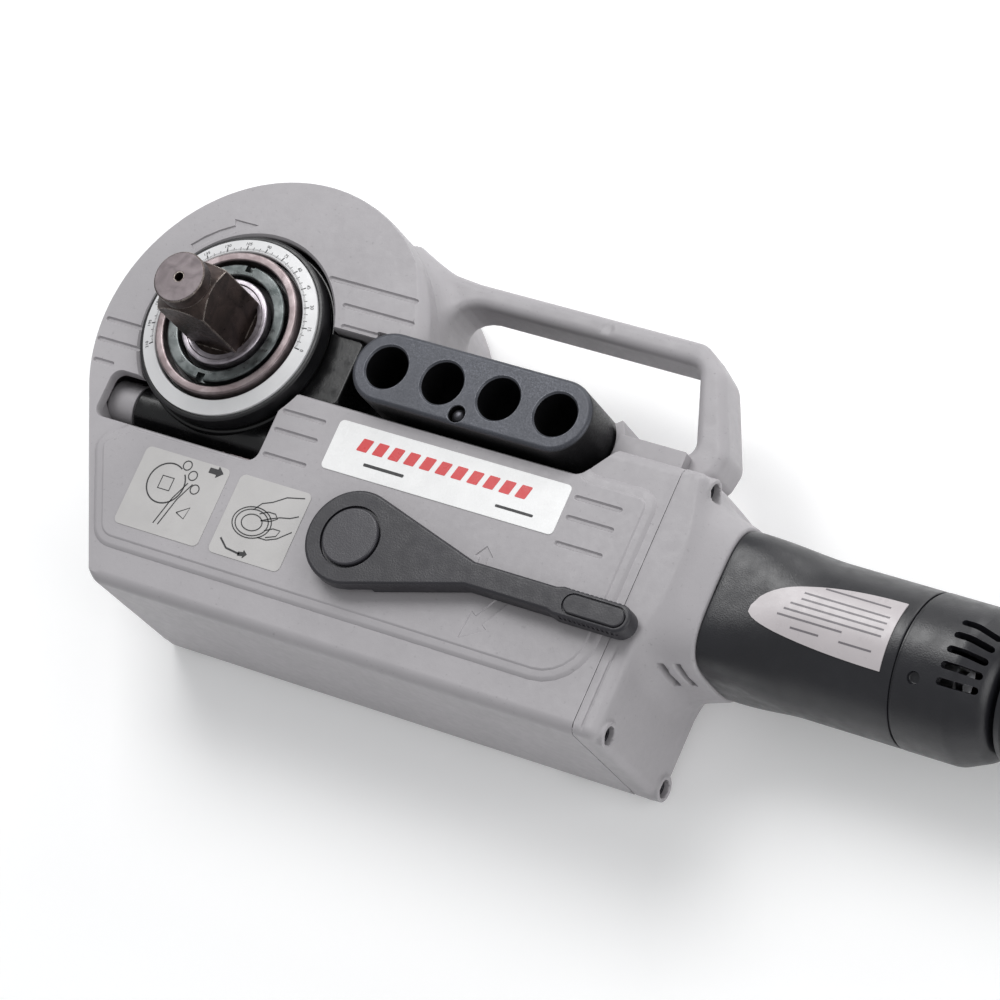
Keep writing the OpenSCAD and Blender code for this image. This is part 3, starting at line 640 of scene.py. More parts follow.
def housing():
    case = stack("housing_casting", edged_loop, foot_edge(0.8, BACK_Z) + top_edge(CASE_EDGE, FACE_Z, 7))
    slope = [(0, FACE_Z - 8), (0, FACE_Z - 0.3), (0.5, FACE_Z + 0.35), (1.6, PANEL_Z - 0.95),
             (2.4, PANEL_Z - 0.75), (4.9, PANEL_Z - 0.65), (5.5, PANEL_Z - 0.12), (6.0, PANEL_Z)]
    panel = stack("panel", partial(outline, PANEL), slope)
    boss = lathe("boss", [(0, 80, 0), (15.5, 80, 0), (15.5, PANEL_Z, 0), (14, PANEL_Z + 2, 0.8),
                          (0, PANEL_Z + 2, 0)], at=LEVER)
    fuse(case, panel, boss)
    cut(case, stack("cavity", lambda inset: case_loop(WALL + inset, SEAM - WALL),
                    [(0, 8), (0, FACE_Z - WALL)]))
    liner = stack("liner", partial(outline, POCKET), [(-3, POCKET_FLOOR - 6), (-3, FACE_Z - WALL + 1)])
    within = stack("within", lambda inset: case_loop(inset + 1, SEAM - 1), [(0, 0), (0, FACE_Z - 1)])
    fuse(case, boolean(liner, "INTERSECT", [within]))
    end = (BORE_X[3], 0)
    shoulder = arc(end, 22.5, -20, 40, 16) + arc(end, 18.6, 40, -20, 16)
    wall = stack("shoulder", lambda inset: shoulder, [(0, 45), (0, 74)])
    strip = box("strip", (203, -4, 45), (238, 7.5, 76), 1.0)
    dial_hole = lathe("dial_hole", [(0, 60, 0), (DIAL_HOLE_R, 60, 0), (DIAL_HOLE_R, FACE_Z - 1.4, 1.5),
                                    (DIAL_HOLE_R + 2, FACE_Z + 0.6, 0), (DIAL_HOLE_R + 2, 110, 0),
                                    (0, 110, 0)])
    flared = [(0, FACE_Z - 7), (0, FACE_Z - 1.5), (-0.5, FACE_Z - 0.4), (-1.6, PANEL_Z + 0.3), (-1.6, 110)]
    window = stack("window", partial(outline, WINDOW), flared)
    pocket = stack("pocket", partial(outline, POCKET), [(0, POCKET_FLOOR - 8)] + flared[1:])
    plug = lathe("plug_hole", [(0, -57.4, 0), (11.3, -57.4, 1), (11.3, -38, 0), (0, -38, 0)], "x", WORM)
    shaft = rod("shaft_hole", 7.2, 70, 110, at=LEVER, segments=48)
    cut(case, dial_hole, window, pocket, plug, shaft)
    fuse(case, strip, wall)
    left = [groove(-69, -46, y, FACE_Z) for y in (-10.5, -21)] + [groove(-66, -56, -31.5, FACE_Z)]
    right = [groove(36, 84, 38, FACE_Z), groove(49, 87, 27, FACE_Z), groove(53, 74, 17, FACE_Z)]
    panel_left = [groove(44.5, 66.7, y, PANEL_Z) for y in (-30.6, -40.2, -53)]
    panel_right = [groove(204.3, 227.1, y, PANEL_Z) for y in (-31.3, -41.2, -54.1)]
    around = [(r * math.cos(math.radians(a)), r * math.sin(math.radians(a)), 0)
              for r, a in [(57, 141), (57, 133), (57, 125), (57, 117), (60.5, 117), (55.5, 104),
                           (52.6, 117), (53.5, 117), (53.5, 125), (53.5, 133), (53.5, 141)]]
    marks = [engraving(around[::-1], FACE_Z, 0.8),
             engraving(arrow(174.1, -76.5, 12.2, 10, 97), PANEL_Z, 0.5),
             engraving(arrow(192.3, -85.1, 28, 13, -122), PANEL_Z, 0.5)]
    cut(case, *left, *right, *panel_left, *panel_right, *marks)
    return piece(case, "paint", "root", "casting_grey", "front_housing")


def handle():
    def field(x, y, z):
        plan = (x[..., 0], y[..., 0]) if x.ndim == 3 else (x, y)
        outer = polygon_distance(*plan, outline(HANDLE_OUTER))
        inner = polygon_distance(*plan, outline(HANDLE_OPENING))
        flat = np.maximum(outer, -inner)
        if x.ndim == 3:
            flat = flat[..., None]
        bar = rounded_join(flat, np.abs(z - 57.5) - 12.5, 4.5)
        off_head = np.hypot(x - HEAD[0], y - HEAD[1]) - HEAD_R
        slab = np.abs(z - 56) - 24
        head = rounded_join(off_head + 0.3, slab, 4.0)
        whole = blend_union(bar, head, 11.0)
        whole = np.maximum(whole, -(off_head + 1.5))
        whole = np.maximum(whole, -(x - 60))
        whole = np.maximum(whole, bar - 9)
        for mark_x, mark_y in ((171, 55.8), (252, 4)):
            sunk = np.maximum(np.hypot(x - mark_x, y - mark_y) - 3.0, 69.5 - z)
            whole = np.maximum(whole, -sunk)
        return whole

    bar = net("carry_handle_casting", field, (58, -4.5, 30), (261, 84, 84), 1.0)
    return piece(bar, "paint", "root", "casting_grey", "carry_handle", angle=50)


def section(angle, power):
    """How far a rounded square with faces at 1 reaches at an angle in radians. Power 2 is a circle."""
    return (np.abs(np.cos(angle)) ** power + np.abs(np.sin(angle)) ** power) ** (-1 / power)


def flange():
    y0, z0 = MOTOR

    def field(x, y, z):
        case = rounded_box(x, y, z, (SEAM - 20, CASE_BOTTOM, 4), (FLANGE_END, CASE_TOP, FACE_Z), 4.5)
        ridge = np.where((x > 251.2) & (x < 252.6), 0.7, 0.0)
        case = np.maximum(case, z - FACE_Z + ridge)
        r = np.hypot(y - y0, z - z0)
        turn = np.arctan2(z - z0, y - y0)
        taper = 42 - (x - FLANGE_END) * 0.28
        cone = rounded_join(r - section(turn, SQUARENESS) * taper, x - COLLAR_END, 1.0)
        cone = np.maximum(cone, FLANGE_END - 8 - x)
        whole = blend_union(case, cone, 11.0)
        for sy, sz in FLANGE_SCREWS:
            off = np.hypot(y - sy, z - sz)
            collar = rounded_join(off - 6.4, x - FLANGE_END - 1.6, 0.8)
            whole = blend_union(whole, np.maximum(collar, FLANGE_END - 6 - x), 1.2)
            whole = np.maximum(whole, -np.maximum(off - 4.3, FLANGE_END - 5.5 - x))
        whole = np.maximum(whole, -np.maximum(r - 33.2, FLANGE_END - 3.5 - x))
        whole = np.maximum(whole, -(r - 12))
        for x1 in (266.5, 273.7):
            slot = np.maximum(np.abs(x - x1 - 2 * (turn - math.radians(161))) - 1.5,
                              np.abs(turn - math.radians(161)) * 40 - 10.5)
            whole = np.maximum(whole, -np.maximum(slot, 33 - r))
        whole = np.maximum(whole, CASE_BOTTOM + 0.1 - y)
        whole = np.maximum(whole, z - FACE_Z)
        return np.maximum(whole, SEAM + SEAM_GAP - x)

    end = net("end_flange_casting", field, (SEAM - 1, CASE_BOTTOM - 2, 2), (283.5, CASE_TOP + 2, 94), 0.9)
    return piece(end, "paint", "root", "casting_grey", "end_flange", angle=50)


def rear():
    cover = stack("rear_cover_casting", lambda inset: case_loop(inset + 0.3, SEAM - 1.8),
                  foot_edge(2.0, 4) + [(0, BACK_Z - 0.02)])
    tools = []
    for spot in FEET:
        tools.append(rod("seat", 10, -2, 5.5, at=spot, segments=48))
    for spot in COVER_SCREWS:
        tools.append(lathe("bolt", [(0, -2, 0), (4, -2, 0), (4, 8, 0), (2.4, 8, 0), (2.4, 20, 0),
                                    (0, 20, 0)], at=spot, segments=32))
    for y in (-30, -45, -60, -75, -90):
        tools.append(stack("rib", partial(stadium, 60, 180, y, 3.0, steps=6),
                           [(0.6, 4.9), (0, 4.4), (-0.5, 3.9), (-0.5, 0)]))
    cut(cover, *tools)
    return piece(cover, "paint", "root", "casting_grey", "rear_cover")


# ---------------------------------------------------------------- gear case, dial and spindle


def gear_case():
    disc = lathe("gear_case_cover", [(0, 62, 0), (49, 62, 1), (49, 84, 1.5), (37.9, 84, 0.8),
                                     (37.9, 93, 0.5), (0, 93, 0)])
    tunnel = lathe("tunnel", [(0, -40, 0), (12, -40, 1.5), (12, 62, 1.5), (0, 62, 0)], "x", WORM,
                   segments=64)
    plate = [(40.4, -19.5, 1), (199, -19.5, 6), (200, 5, 4), (191, 15, 6), (176, 18, 2), (72.4, 18, 1),
             (72.4, 14.5, 1), (40.4, 14.5, 2)]
    arm = stack("arm", partial(outline, plate), [(0, POCKET_FLOOR - 6), (0, POCKET_FLOOR)])
    step = stack("step", partial(outline, [(40.4, -19.5, 1), (64, -19.5, 3), (64, 14.5, 3),
            (40.4, 14.5, 1)]), [(0, POCKET_FLOOR - 2)] + top_edge(1.2, 84, 3))
    fuse(disc, tunnel, arm, step)
    cut(disc,
        rod("bore", 30.25, 40, 120),
        lathe("seat", [(32.1, 87.9, 0), (36.5, 87.9, 0), (36.5, 100, 0), (32.1, 100, 0)]),
        rod("worm", 9.6, -45, 70, "x", WORM, segments=64))
    return piece(disc, "black", "root", "case_black", "gear_case")


def plug():
    cap = lathe("worm_plug_cap", [(0, -57, 0), (11, -57, 2.4), (11, -41, 0.6), (9.4, -41, 0),
                                  (9.4, -33, 0), (0, -33, 0)], "x", WORM, segments=72, steps=8)
    return piece(cap, "paint", "root", "casting_grey", "worm_plug")


def nut():
    ring = lathe("bearing_nut_ring", [(24.4, 90, 0), (30.2, 90, 0), (30.2, 101, 1.0), (24.4, 101, 0.8)])
    slots = [rotated(box("slot", (26.6, -2.1, 97.6), (32, 2.1, 103), 0.3), a, "Z", (0, 0, 0))
             for a in (90, 270)]
    cut(ring, *slots)
    return piece(ring, "nut", "root", "ring_dark", "bearing_nut")


def bronze_ring():
    ring = lathe("dial_bearing", [(32.2, 88, 0), (36.4, 88, 0), (36.4, 101, 0.9), (32.2, 101, 0.9)])
    return piece(ring, "bronze", "root", "bronze", "dial_bearing_ring")


def spindle():
    """A turned bar whose upper part is cut square, with a round end whose face is a lighter steel, a
    painted highlight.
    """
    h = SQUARE_AF / 2
    end = SPINDLE_TOP
    lower = [(0, 10, 0), (15, 10, 0.6), (15, 26, 0), (19.9, 26, 0.5), (19.9, 42, 0), (18.5, 42, 0),
             (18.5, 44, 0), (19.9, 44, 0), (19.9, 97, 0), (18.2, 97.2, 0), (18.2, 100, 0), (0, 100, 0)]
    upper = [(0, 99, 0), (18.5, 99, 0), (18.5, end - 14, 1.5), (12.4, end - 8.6, 0.6),
             (11.6, end - 8.2, 0.2), (12.85, end - 7.4, 0.4), (12.85, end - 0.2, 0.6), (0, end - 0.2, 0)]
    square = box("square", (-h, -h, 98), (h, h, end + 2), 0.4)
    shaft = boolean(lathe("output_spindle_bar", upper, segments=192), "INTERSECT", [square])
    fuse(shaft, lathe("lower", lower))
    hole = rod("centre", 2.3, end - 6, end + 2, segments=40)
    cut(shaft, hole)
    piece(shaft, "oxide", "spindle", "spindle_oxide", "output_spindle", angle=30)
    # The end face is a separate piece in lighter steel: a painted highlight on the spindle's top.
    face = lathe("spindle_end_face", [(2.3, end - 0.9, 0), (12.3, end - 0.9, 0), (12.3, end, 0.3),
                                      (2.9, end, 0), (2.3, end - 0.5, 0)])
    piece(face, "painted_highlight_face", "spindle", "spindle_oxide")
    collar = lathe("spindle_collar", [(17, 97, 0), (22, 97, 0.8), (22, 102.5, 0.9), (19.6, 102.5, 0.3),
                                      (19.2, 101.9, 0.2), (17, 101.9, 0)])
    return piece(collar, "collar", "spindle", "gear_steel")


def dial():
    inner, outer = SCALE_R
    high, low = SCALE_Z
    carrier = lathe("dial_rim", [(inner, 84.5, 0), (outer + 2, 84.5, 0.6), (outer + 2.5, 86.2, 0.6),
                                 (outer + 2.5, 95, 1.2), (outer + 0.3, 95.2, 0.3), (outer + 0.3, 93, 0),
                                 (inner, 93, 0)])
    piece(carrier, "carrier", "dial", "dial_black", "dial_carrier")
    scale = lathe("scale_annulus", [(inner, 93, 0), (outer, 93, 0), (outer, low, 0.3),
                                    (inner + 0.5, high, 0.3), (inner, high - 0.5, 0)])
    piece(scale, "dial_white", "dial", "dial_white", "scale_ring")
    marks = []

    def height(r):
        return high + (low - high) * (r - inner - 0.5) / (outer - inner - 0.5)

    def bar(angle, r0, r1, half):
        c, s = math.cos(math.radians(angle)), math.sin(math.radians(angle))
        rows = []
        for r in (r0, r1):
            rows.append([(r * c - w * s, r * s + w * c, height(r) + lift)
                         for w, lift in ((-half, -0.1), (-half, 0.06), (half, 0.06), (half, -0.1))])
        marks.append(skin("tick", rows))

    for degree in range(0, DIAL_END + 1):
        reach, half = (3.2, 0.28) if degree % 15 == 0 else (2.6, 0.16) if degree % 5 == 0 else (1.8, 0.09)
        bar(DIAL_ZERO + degree, inner + 0.8, inner + reach, half)
    piece(merged("scale_ticks", marks), "ink", "dial", "dial_black")
    numbers = []
    for degree in range(0, DIAL_END + 1, 15):
        curve = bpy.data.curves.new("number", "FONT")
        curve.body = str(degree)
        curve.size = 2.4 * MM
        curve.extrude = 0.05 * MM
        curve.resolution_u = 3
        curve.align_x = "CENTER"
        text = placed("number", curve)
        mesh = bpy.data.meshes.new_from_object(text.evaluated_get(bpy.context.evaluated_depsgraph_get()))
        bpy.data.objects.remove(text)
        angle = math.radians(DIAL_ZERO + degree)
        r = inner + 3.7
        lean = math.atan2(high - low, outer - inner)
        outward = Matrix.Translation((0, r * MM, (height(r) + 0.02) * MM))
        place = Matrix.Rotation(angle - math.pi / 2, 4, "Z") @ outward
        mesh.transform(place @ Matrix.Rotation(-lean, 4, "X"))
        numbers.append(placed("number", mesh))
    piece(merged("scale_numbers", numbers), "ink", "dial", "dial_black")


# ---------------------------------------------------------------- block, lever and labels


def former_block():
    loop = partial(stadium, BORE_X[0], BORE_X[3], 0, BLOCK_R, steps=28)
    block = stack("former_block_casting", loop, [(0, POCKET_FLOOR)] + top_edge(2.2, BLOCK_TOP, 6))
    tools = []
    for x in BORE_X:
        tools.append(lathe("bore", [(0, POCKET_FLOOR - 2, 0), (BORE_R, POCKET_FLOOR - 2, 0),
                                    (BORE_R, BLOCK_TOP - 0.9, 0.4), (BORE_R + 1.1, BLOCK_TOP + 0.2, 0),
                                    (BORE_R + 1.1, BLOCK_TOP + 2, 0), (0, BLOCK_TOP + 2, 0)], at=(x, 0),
                           segments=80))
    tools.append(lathe("hole", [(0, POCKET_FLOOR - 2, 0), (4.2, POCKET_FLOOR - 2, 0),
                                (4.2, BLOCK_TOP - 0.4, 0.2), (4.8, BLOCK_TOP + 0.2, 0),
                                (4.8, BLOCK_TOP + 2, 0), (0, BLOCK_TOP + 2, 0)], at=BLOCK_SCREW,
                       segments=48))
    cut(block, *tools)
    piece(block, "block", "root", "block_steel", "former_block")
    dome = lathe("block_screw_dome", [(0, POCKET_FLOOR + 0.5, 0), (2.5, POCKET_FLOOR + 0.5, 0),
                                      (2.5, 95.4, 0), (3.9, 95.4, 0), (3.9, BLOCK_TOP - 1.4, 3.4),
                                      (0, BLOCK_TOP - 1.4, 0)], at=BLOCK_SCREW, segments=40, steps=8)
    piece(dome, "dark_screw", "root", "zinc_screw", "block_screw")


def lever_loop(inset=0.0):
    half, neck = 6.0, 63.7
    lean = math.degrees(math.acos((LEVER_R - half) / neck))
    points = arc((0, 0), LEVER_R - inset, lean, 360 - lean, 44)
    points += [(neck, -half + inset), (107, -half + inset), (110.5, -7 + inset)]
    points += arc((LEVER_TIP, 0), 7 - inset, -90, 90, 14)
    points += [(110.5, 7 - inset), (107, half - inset), (neck, half - inset)]
    return [(LEVER[0] + x, LEVER[1] + y) for x, y in points]


def lever():
    low, high = LEVER_Z
    bar = stack("lever_bar", lever_loop, foot_edge(0.5, low) + top_edge(1.6, high, 4))
    under = lathe("under", [(0, 90, 0), (26, 90, 0), (26, 96.5, 0), (16.2, 96.5, 0), (16.2, 94.3, 0),
                            (0, 94.3, 0)], at=LEVER)
    seat = stack("seat", partial(stadium, *PAD_X, LEVER[1], 5.2, steps=10),
                 [(0, high - 0.9), (0, high + 2)])
    ring = lathe("ring", [(13.9, high - 1.6, 0), (14.9, high - 1.6, 0), (15.3, high + 1, 0),
                          (13.9, high + 1, 0)], at=LEVER)
    notches = []
    for i in range(13):
        x = LEVER[0] + 114 + 2.4 * i
        for side in (-1, 1):
            notches.append(rod("notch", 0.9, high - 4, high + 2,
                                 at=(x, LEVER[1] + side * 7.2), segments=16))
    cut(bar, under, ring, seat, merged("notches", notches))
    fuse(bar, stack("pad", partial(stadium, *PAD_X, LEVER[1], 4.6, steps=10),
                    [(0, high - 2)] + top_edge(0.8, high + 0.5, 4)))
    piece(bar, "lever", "lever", "lever_plastic", "selector_lever")
    cap = lathe("lever_cap_disc", [(0, high - 1.5, 0), (13.8, high - 1.5, 0), (13.8, high + 1, 0.9),
                                   (0, high + 1, 0)], at=LEVER)
    piece(cap, "lever_cap", "lever", "lever_plastic", "lever_cap")


def ribbon(points, width, z, closed=False, lift=0.08):
    """A thin raised line along points on a flat surface at z."""
    points = [Vector(p) for p in points]
    n = len(points)
    rows = []
    for i, p in enumerate(points):
        a = points[(i - 1) % n] if closed or i > 0 else p
        b = points[(i + 1) % n] if closed or i < n - 1 else p
        along = (b - a).normalized()
        side = Vector((-along.y, along.x)) * width / 2
        rows.append([(p.x - side.x, p.y - side.y, z - 0.05), (p.x + side.x, p.y + side.y, z - 0.05),
                     (p.x + side.x, p.y + side.y, z + lift), (p.x - side.x, p.y - side.y, z + lift)])
    return skin("line", rows, closed)


def patch(corners, z, lift=0.08):
    """A thin raised patch on a flat surface at z."""
    return stack("patch", partial(outline, corners), [(0, z - 0.05), (0, z + lift)])


def rectangle(x, y, width, height, radius=0.3):
    w, h = width / 2, height / 2
    return [(x - w, y - h, radius), (x + w, y - h, radius), (x + w, y + h, radius), (x - w, y + h, radius)]


def name_plate():
    low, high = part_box("name_plate")
    x, y = (low.x + high.x) / 2 / MM, (low.y + high.y) / 2 / MM
    width, height = (high.x - low.x) / MM, (high.y - low.y) / MM
    z = high.z / MM
    plate = stack("name_plate_film", partial(outline, rectangle(x, y, width, height, 2.5)),
                  [(0, PANEL_Z + 0.02)] + top_edge(0.2, z, 2))
    piece(plate, "label", "root", "label_white", "name_plate")
    left = x - width / 2
    bars = []
    for k in range(11):
        u = left + 14 + 8.6 * k
        bars.append(patch([(u, y, 0.5), (u + 5.6, y, 0.5), (u + 7.4, y + 6.4, 0.5),
                           (u + 1.8, y + 6.4, 0.5)], z))
    piece(merged("name_plate_red", bars), "red", "root", "label_white")
    small = [patch(rectangle(left + 32, y - 5.6, 22, 1.5, 0.5), z),
             patch(rectangle(left + 103, y - 6.4, 20, 1.3, 0.5), z)]
    piece(merged("name_plate_lines", small), "ink", "root", "label_white")


def decals():
    low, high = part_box("instruction_decals")
    z = high.z / MM
    cards = [(8, -85, 48, 40), (58, -85, 40, 40)]
    films = [stack("film", partial(outline, rectangle(x, y, w, h, 3)), [(0, PANEL_Z + 0.02), (0, z - 0.08),
            (0.1, z)]) for x, y, w, h in cards]
    piece(merged("decal_films", films), "film", "root", "decal_film", "instruction_decals")
    lines = []
    former = (2, -80)
    lines.append(ribbon(arc(former, 10, 60, 400, 40), 0.7, z))
    square = [(former[0] + 3.2 * u, former[1] + 3.2 * v) for u, v in ((-1, -1), (1, -1), (1, 1), (-1, 1))]
    lines.append(ribbon(square, 0.6, z, closed=True))
    for x, y in ((14, -73), (18, -79), (9, -69)):
        lines.append(ribbon(circle(x, y, 2.3, steps=20), 0.55, z, closed=True))
    for side in (-1.3, 1.3):
        lines.append(ribbon([(6 + side, -100), (10 + side, -86), (14.5 + side, -77)], 0.55, z))
    lines.append(ribbon([(14, -92), (20, -88), (19, -94), (14, -92)], 0.5, z))
    lines.append(patch([(x, y, 0.2) for x, y, _ in arrow(21, -68, 8, 6, 0)], z))
    dial_at = (54, -86)
    for r in (5.0, 8.0, 9.5):
        lines.append(ribbon([(dial_at[0] + r * 1.1 * math.cos(t), dial_at[1] + r * 0.8 * math.sin(t))
                             for t in np.linspace(0, 2 * math.pi, 32, endpoint=False)], 0.55, z,
                            closed=True))
    finger = [((52, -80), (55, -76), (60, -74), (66, -70), (75, -68)),
              ((58, -84), (62, -82), (67, -80), (72, -79), (76, -77)),
              ((56, -81), (60, -79), (64, -79), (66, -81), (63, -83), (58, -84)),
              ((62, -88), (66, -86), (70, -86), (69, -89), (64, -91)),
              ((60, -92), (65, -92), (70, -90), (76, -85))]
    for path in finger:
        lines.append(ribbon(path, 0.55, z))
    lines.append(ribbon([(42, -97), (47, -101), (55, -102)], 0.9, z))
    lines.append(patch([(x, y, 0.2) for x, y, _ in arrow(54, -102, 5, 4.5, 10)], z))
    piece(merged("decal_line_art", lines), "ink", "root", "decal_film")


# ---------------------------------------------------------------- motor and grip


def motor_reach(x, angle):
    """The motor housing's reach from its axis: a rounded square at the flange, then a round barrel."""
    t = min(max((x - COLLAR_END - 4) / 40, 0), 1)
    t = t * t * (3 - 2 * t)
    return (MOTOR_FACE + 0.5 * t) * float(section(angle, SQUARENESS - (SQUARENESS - 2) * t))


def motor_ring(x, inset=0.0, radius=None, segments=128):
    """A ring round the motor at x: its own outline drawn in by inset, or a plain circle of radius."""
    ring = []
    for a in np.linspace(0, 2 * math.pi, segments, endpoint=False):
        reach = motor_reach(x, a) - inset if radius is None else radius
        ring.append((x, MOTOR[0] + reach * math.cos(a), MOTOR[1] + reach * math.sin(a)))
    return ring


def motor():
    front, back = COLLAR_END + 0.3, MOTOR_SEAM
    rows = [motor_ring(262, radius=32.9), motor_ring(front, radius=32.9)]
    rows += [motor_ring(front, 0.9), motor_ring(front + 0.3, 0.3), motor_ring(front + 1, 0)]
    rows += [motor_ring(x) for x in np.arange(front + 3, 371, 3)]
    rows += [motor_ring(back - 1.2), motor_ring(back - 0.6, 0.3), motor_ring(back - 0.4, 0.9)]
    rows += [motor_ring(back - 0.4, radius=33.4), motor_ring(300, radius=33.3),
             motor_ring(266, radius=31.2)]
    shell = skin("motor_shell", rows, closed=True)
    return piece(shell, "motor", "root", "motor_plastic", "motor_housing")


def motor_cover():
    s = MOTOR_SEAM
    shell = lathe("motor_cover_shell", [(31, s - 0.2, 0), (34.6, s - 0.2, 0), (34.6, s + 0.6, 0.1),
                                        (35.6, s + 1.0, 0.5), (35.6, 402, 12), (29, 417, 8),
                                        (12.5, 420, 0), (12.5, 415, 0), (24, 413, 4), (31, 402, 6)], "x",
                  MOTOR, segments=128, steps=8)
    slots = []
    for start in (85, 265):
        for k in range(-2, 3):
            slot = stack("vent", partial(stadium, 396, 411, 0, 1.7, steps=6), [(0, 20), (0, 50)])
            slot.data.transform(Matrix.Translation((0, MOTOR[0] * MM, MOTOR[1] * MM)))
            slots.append(rotated(slot, start - 90 + 12 * k, "X", (0, MOTOR[0], MOTOR[1])))
    dimple = lathe("dimple", [(0, 33.6, 0), (2.6, 33.6, 0.8), (3.2, 36, 0), (3.2, 44, 0), (0, 44, 0)],
                   segments=32)
    dimple.data.transform(Matrix.Translation((384 * MM, MOTOR[0] * MM, MOTOR[1] * MM)))
    slots.append(rotated(dimple, 22, "X", (0, MOTOR[0], MOTOR[1])))
    cut(shell, *slots)
    return piece(shell, "motor", "root", "motor_plastic", "motor_rear_cover")


def rating_plate():
    def rows(x0, x1, top, bottom, thick, count=28):
        made = []
        for x in np.linspace(x0, x1, count):
            a0, a1 = math.radians(top(x)), math.radians(bottom(x))
            around = np.linspace(a0, a1, 24)
            ring = [(a, motor_reach(x, a) + 0.05 + thick) for a in around]
            ring += [(a, motor_reach(x, a) - 0.25) for a in around[::-1]]
            made.append([(x, MOTOR[0] + r * math.cos(a), MOTOR[1] + r * math.sin(a)) for a, r in ring])
        return made

    def oval(x):
        return 1 - math.sqrt(max(0.0, 1 - ((368 - x) / 67.6) ** 2))

    plate = skin("rating_plate_film", rows(300.6, 368, lambda x: 60 + 39 * oval(x),
            lambda x: 114.5 - 15 * oval(x), 0.45))
    recalc(plate)
    piece(plate, "rating", "root", "rating_film", "rating_plate")
    bars = []
    for angle, x0, x1 in ((68, 330, 362), (76, 322, 364), (81, 322, 364), (86, 318, 364), (91, 316, 364),
                          (96, 314, 346), (103, 322, 336), (103, 346, 362)):
        bar = skin("bar", rows(x0, x1, lambda x: angle - 0.7, lambda x: angle + 0.7, 0.52, 8))
        recalc(bar)
        bars.append(bar)
    piece(merged("rating_plate_lines", bars), "grey_ink", "root", "rating_film")


def recalc(obj):
    """Turns every face outward."""
    mesh = bmesh.new()
    mesh.from_mesh(obj.data)
    bmesh.ops.recalc_face_normals(mesh, faces=mesh.faces)
    mesh.to_mesh(obj.data)
    mesh.free()


def grip():
    profile = [(12.2, 420.4, 0), (28, 420.4, 1.2), (29.2, 424, 1.5), (27, 433, 4), (GRIP_R + 0.6, 447, 8),
               (GRIP_R - 0.2, 490, 30), (GRIP_R + 0.8, GRIP_END - 16, 8), (GRIP_R - 1.5, GRIP_END, 4),
               (9, GRIP_END, 0), (9, GRIP_END - 4, 0), (GRIP_R - 5, GRIP_END - 5, 0),
               (GRIP_R - 3, GRIP_END - 14, 0), (GRIP_R - 3, 446, 0), (24, 430, 0), (24, 423, 0),
               (12.2, 423, 0)]
    shell = lathe("grip_shell", profile, "x", MOTOR, segments=128, steps=6)
    y0, z0 = MOTOR
    tools = [box("trigger_slot", (448, y0 - 40, z0 - 7), (502, y0 - 10, z0 + 7), 2),
             rod("button_hole", 5.3, z0 + 5, z0 + 40, at=(BUTTON_X, y0), segments=40)]
    cut(shell, *tools)
    ribs = []
    for k in range(9):
        x = 508.5 + 4.2 * k
        ribs.append(lathe("rib", [(GRIP_R - 0.4, x, 0), (GRIP_R + 3, x, 0), (GRIP_R + 3, x + 1.5, 0),
                                  (GRIP_R - 0.4, x + 1.5, 0.6)], "x", MOTOR, segments=96))
    keep = box("keep", (500, y0 + 2, z0 - 40), (560, y0 + 40, z0 + 40))
    ribs = boolean(merged("ribs", ribs), "INTERSECT", [keep])
    cut(shell, ribs)
    return piece(shell, "motor", "root", "motor_plastic", "grip_upper", "grip_lower")


def controls():
    y0, z0 = MOTOR
    front = y0 - GRIP_R - 6
    corners = [(449.5, front + 4, 3), (453, front, 4), (478, front + 2.4, 18), (497, front, 4),
               (500.5, front + 4, 3), (500.5, y0 - GRIP_R + 7, 0), (449.5, y0 - GRIP_R + 7, 0)]
    levels = foot_edge(1.6, z0 - 6, 4) + top_edge(1.6, z0 + 6, 4)
    trigger = stack("trigger_blade", partial(outline, corners), levels)
    piece(trigger, "switch", "trigger_body", "switch_plastic", "trigger")
    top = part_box("lock_button")[1].z / MM
    button = lathe("lock_button_cap", [(0, z0 + 9, 0), (5, z0 + 9, 0), (5, top, 1.8), (0, top, 0)],
                   at=(BUTTON_X, y0), segments=48, steps=6)
    piece(button, "switch", "lock_body", "switch_plastic", "lock_button")


def gland():
    y0, z0 = MOTOR
    hexagon = [(12 * math.cos(math.radians(60 * k)), 12 * math.sin(math.radians(60 * k)), 1.2)
               for k in range(6)]
    nut_rows = []
    for x, inset in ((GRIP_END, 0.6), (GRIP_END + 0.8, 0), (GRIP_END + 9.2, 0), (GRIP_END + 10, 0.6)):
        nut_rows.append([(x, y0 + u, z0 + v) for u, v in outline(hexagon, inset, 3)])
    body = skin("cable_gland_body", nut_rows)
    profile = [(0, GRIP_END - 3.9, 0), (8.8, GRIP_END - 3.9, 0), (8.8, GRIP_END + 2, 0),
               (10.4, GRIP_END + 8, 0)]
    x = GRIP_END + 10
    while x < GRIP_END + 22:
        r = 10.4 - (x - GRIP_END - 10) * 0.16
        profile += [(r, x, 0.3), (r, x + 1.8, 0.4), (r - 1.2, x + 2.2, 0.2), (r - 1.2, x + 3.0, 0.2)]
        x += 3.4
    profile += [(8.2, GRIP_END + 24, 0.8), (0, GRIP_END + 24, 0)]
    fuse(body, lathe("sleeve", profile, "x", MOTOR, segments=72, steps=3))
    cut(body, lathe("inlet", [(0, GRIP_END - 8, 0), (4.2, GRIP_END - 8, 0), (4.2, GRIP_END + 23, 0),
                              (5.0, GRIP_END + 25, 0), (0, GRIP_END + 25, 0)], "x", MOTOR, segments=48))
    return piece(body, "rubber", "root", "seal_rubber", "cable_gland")


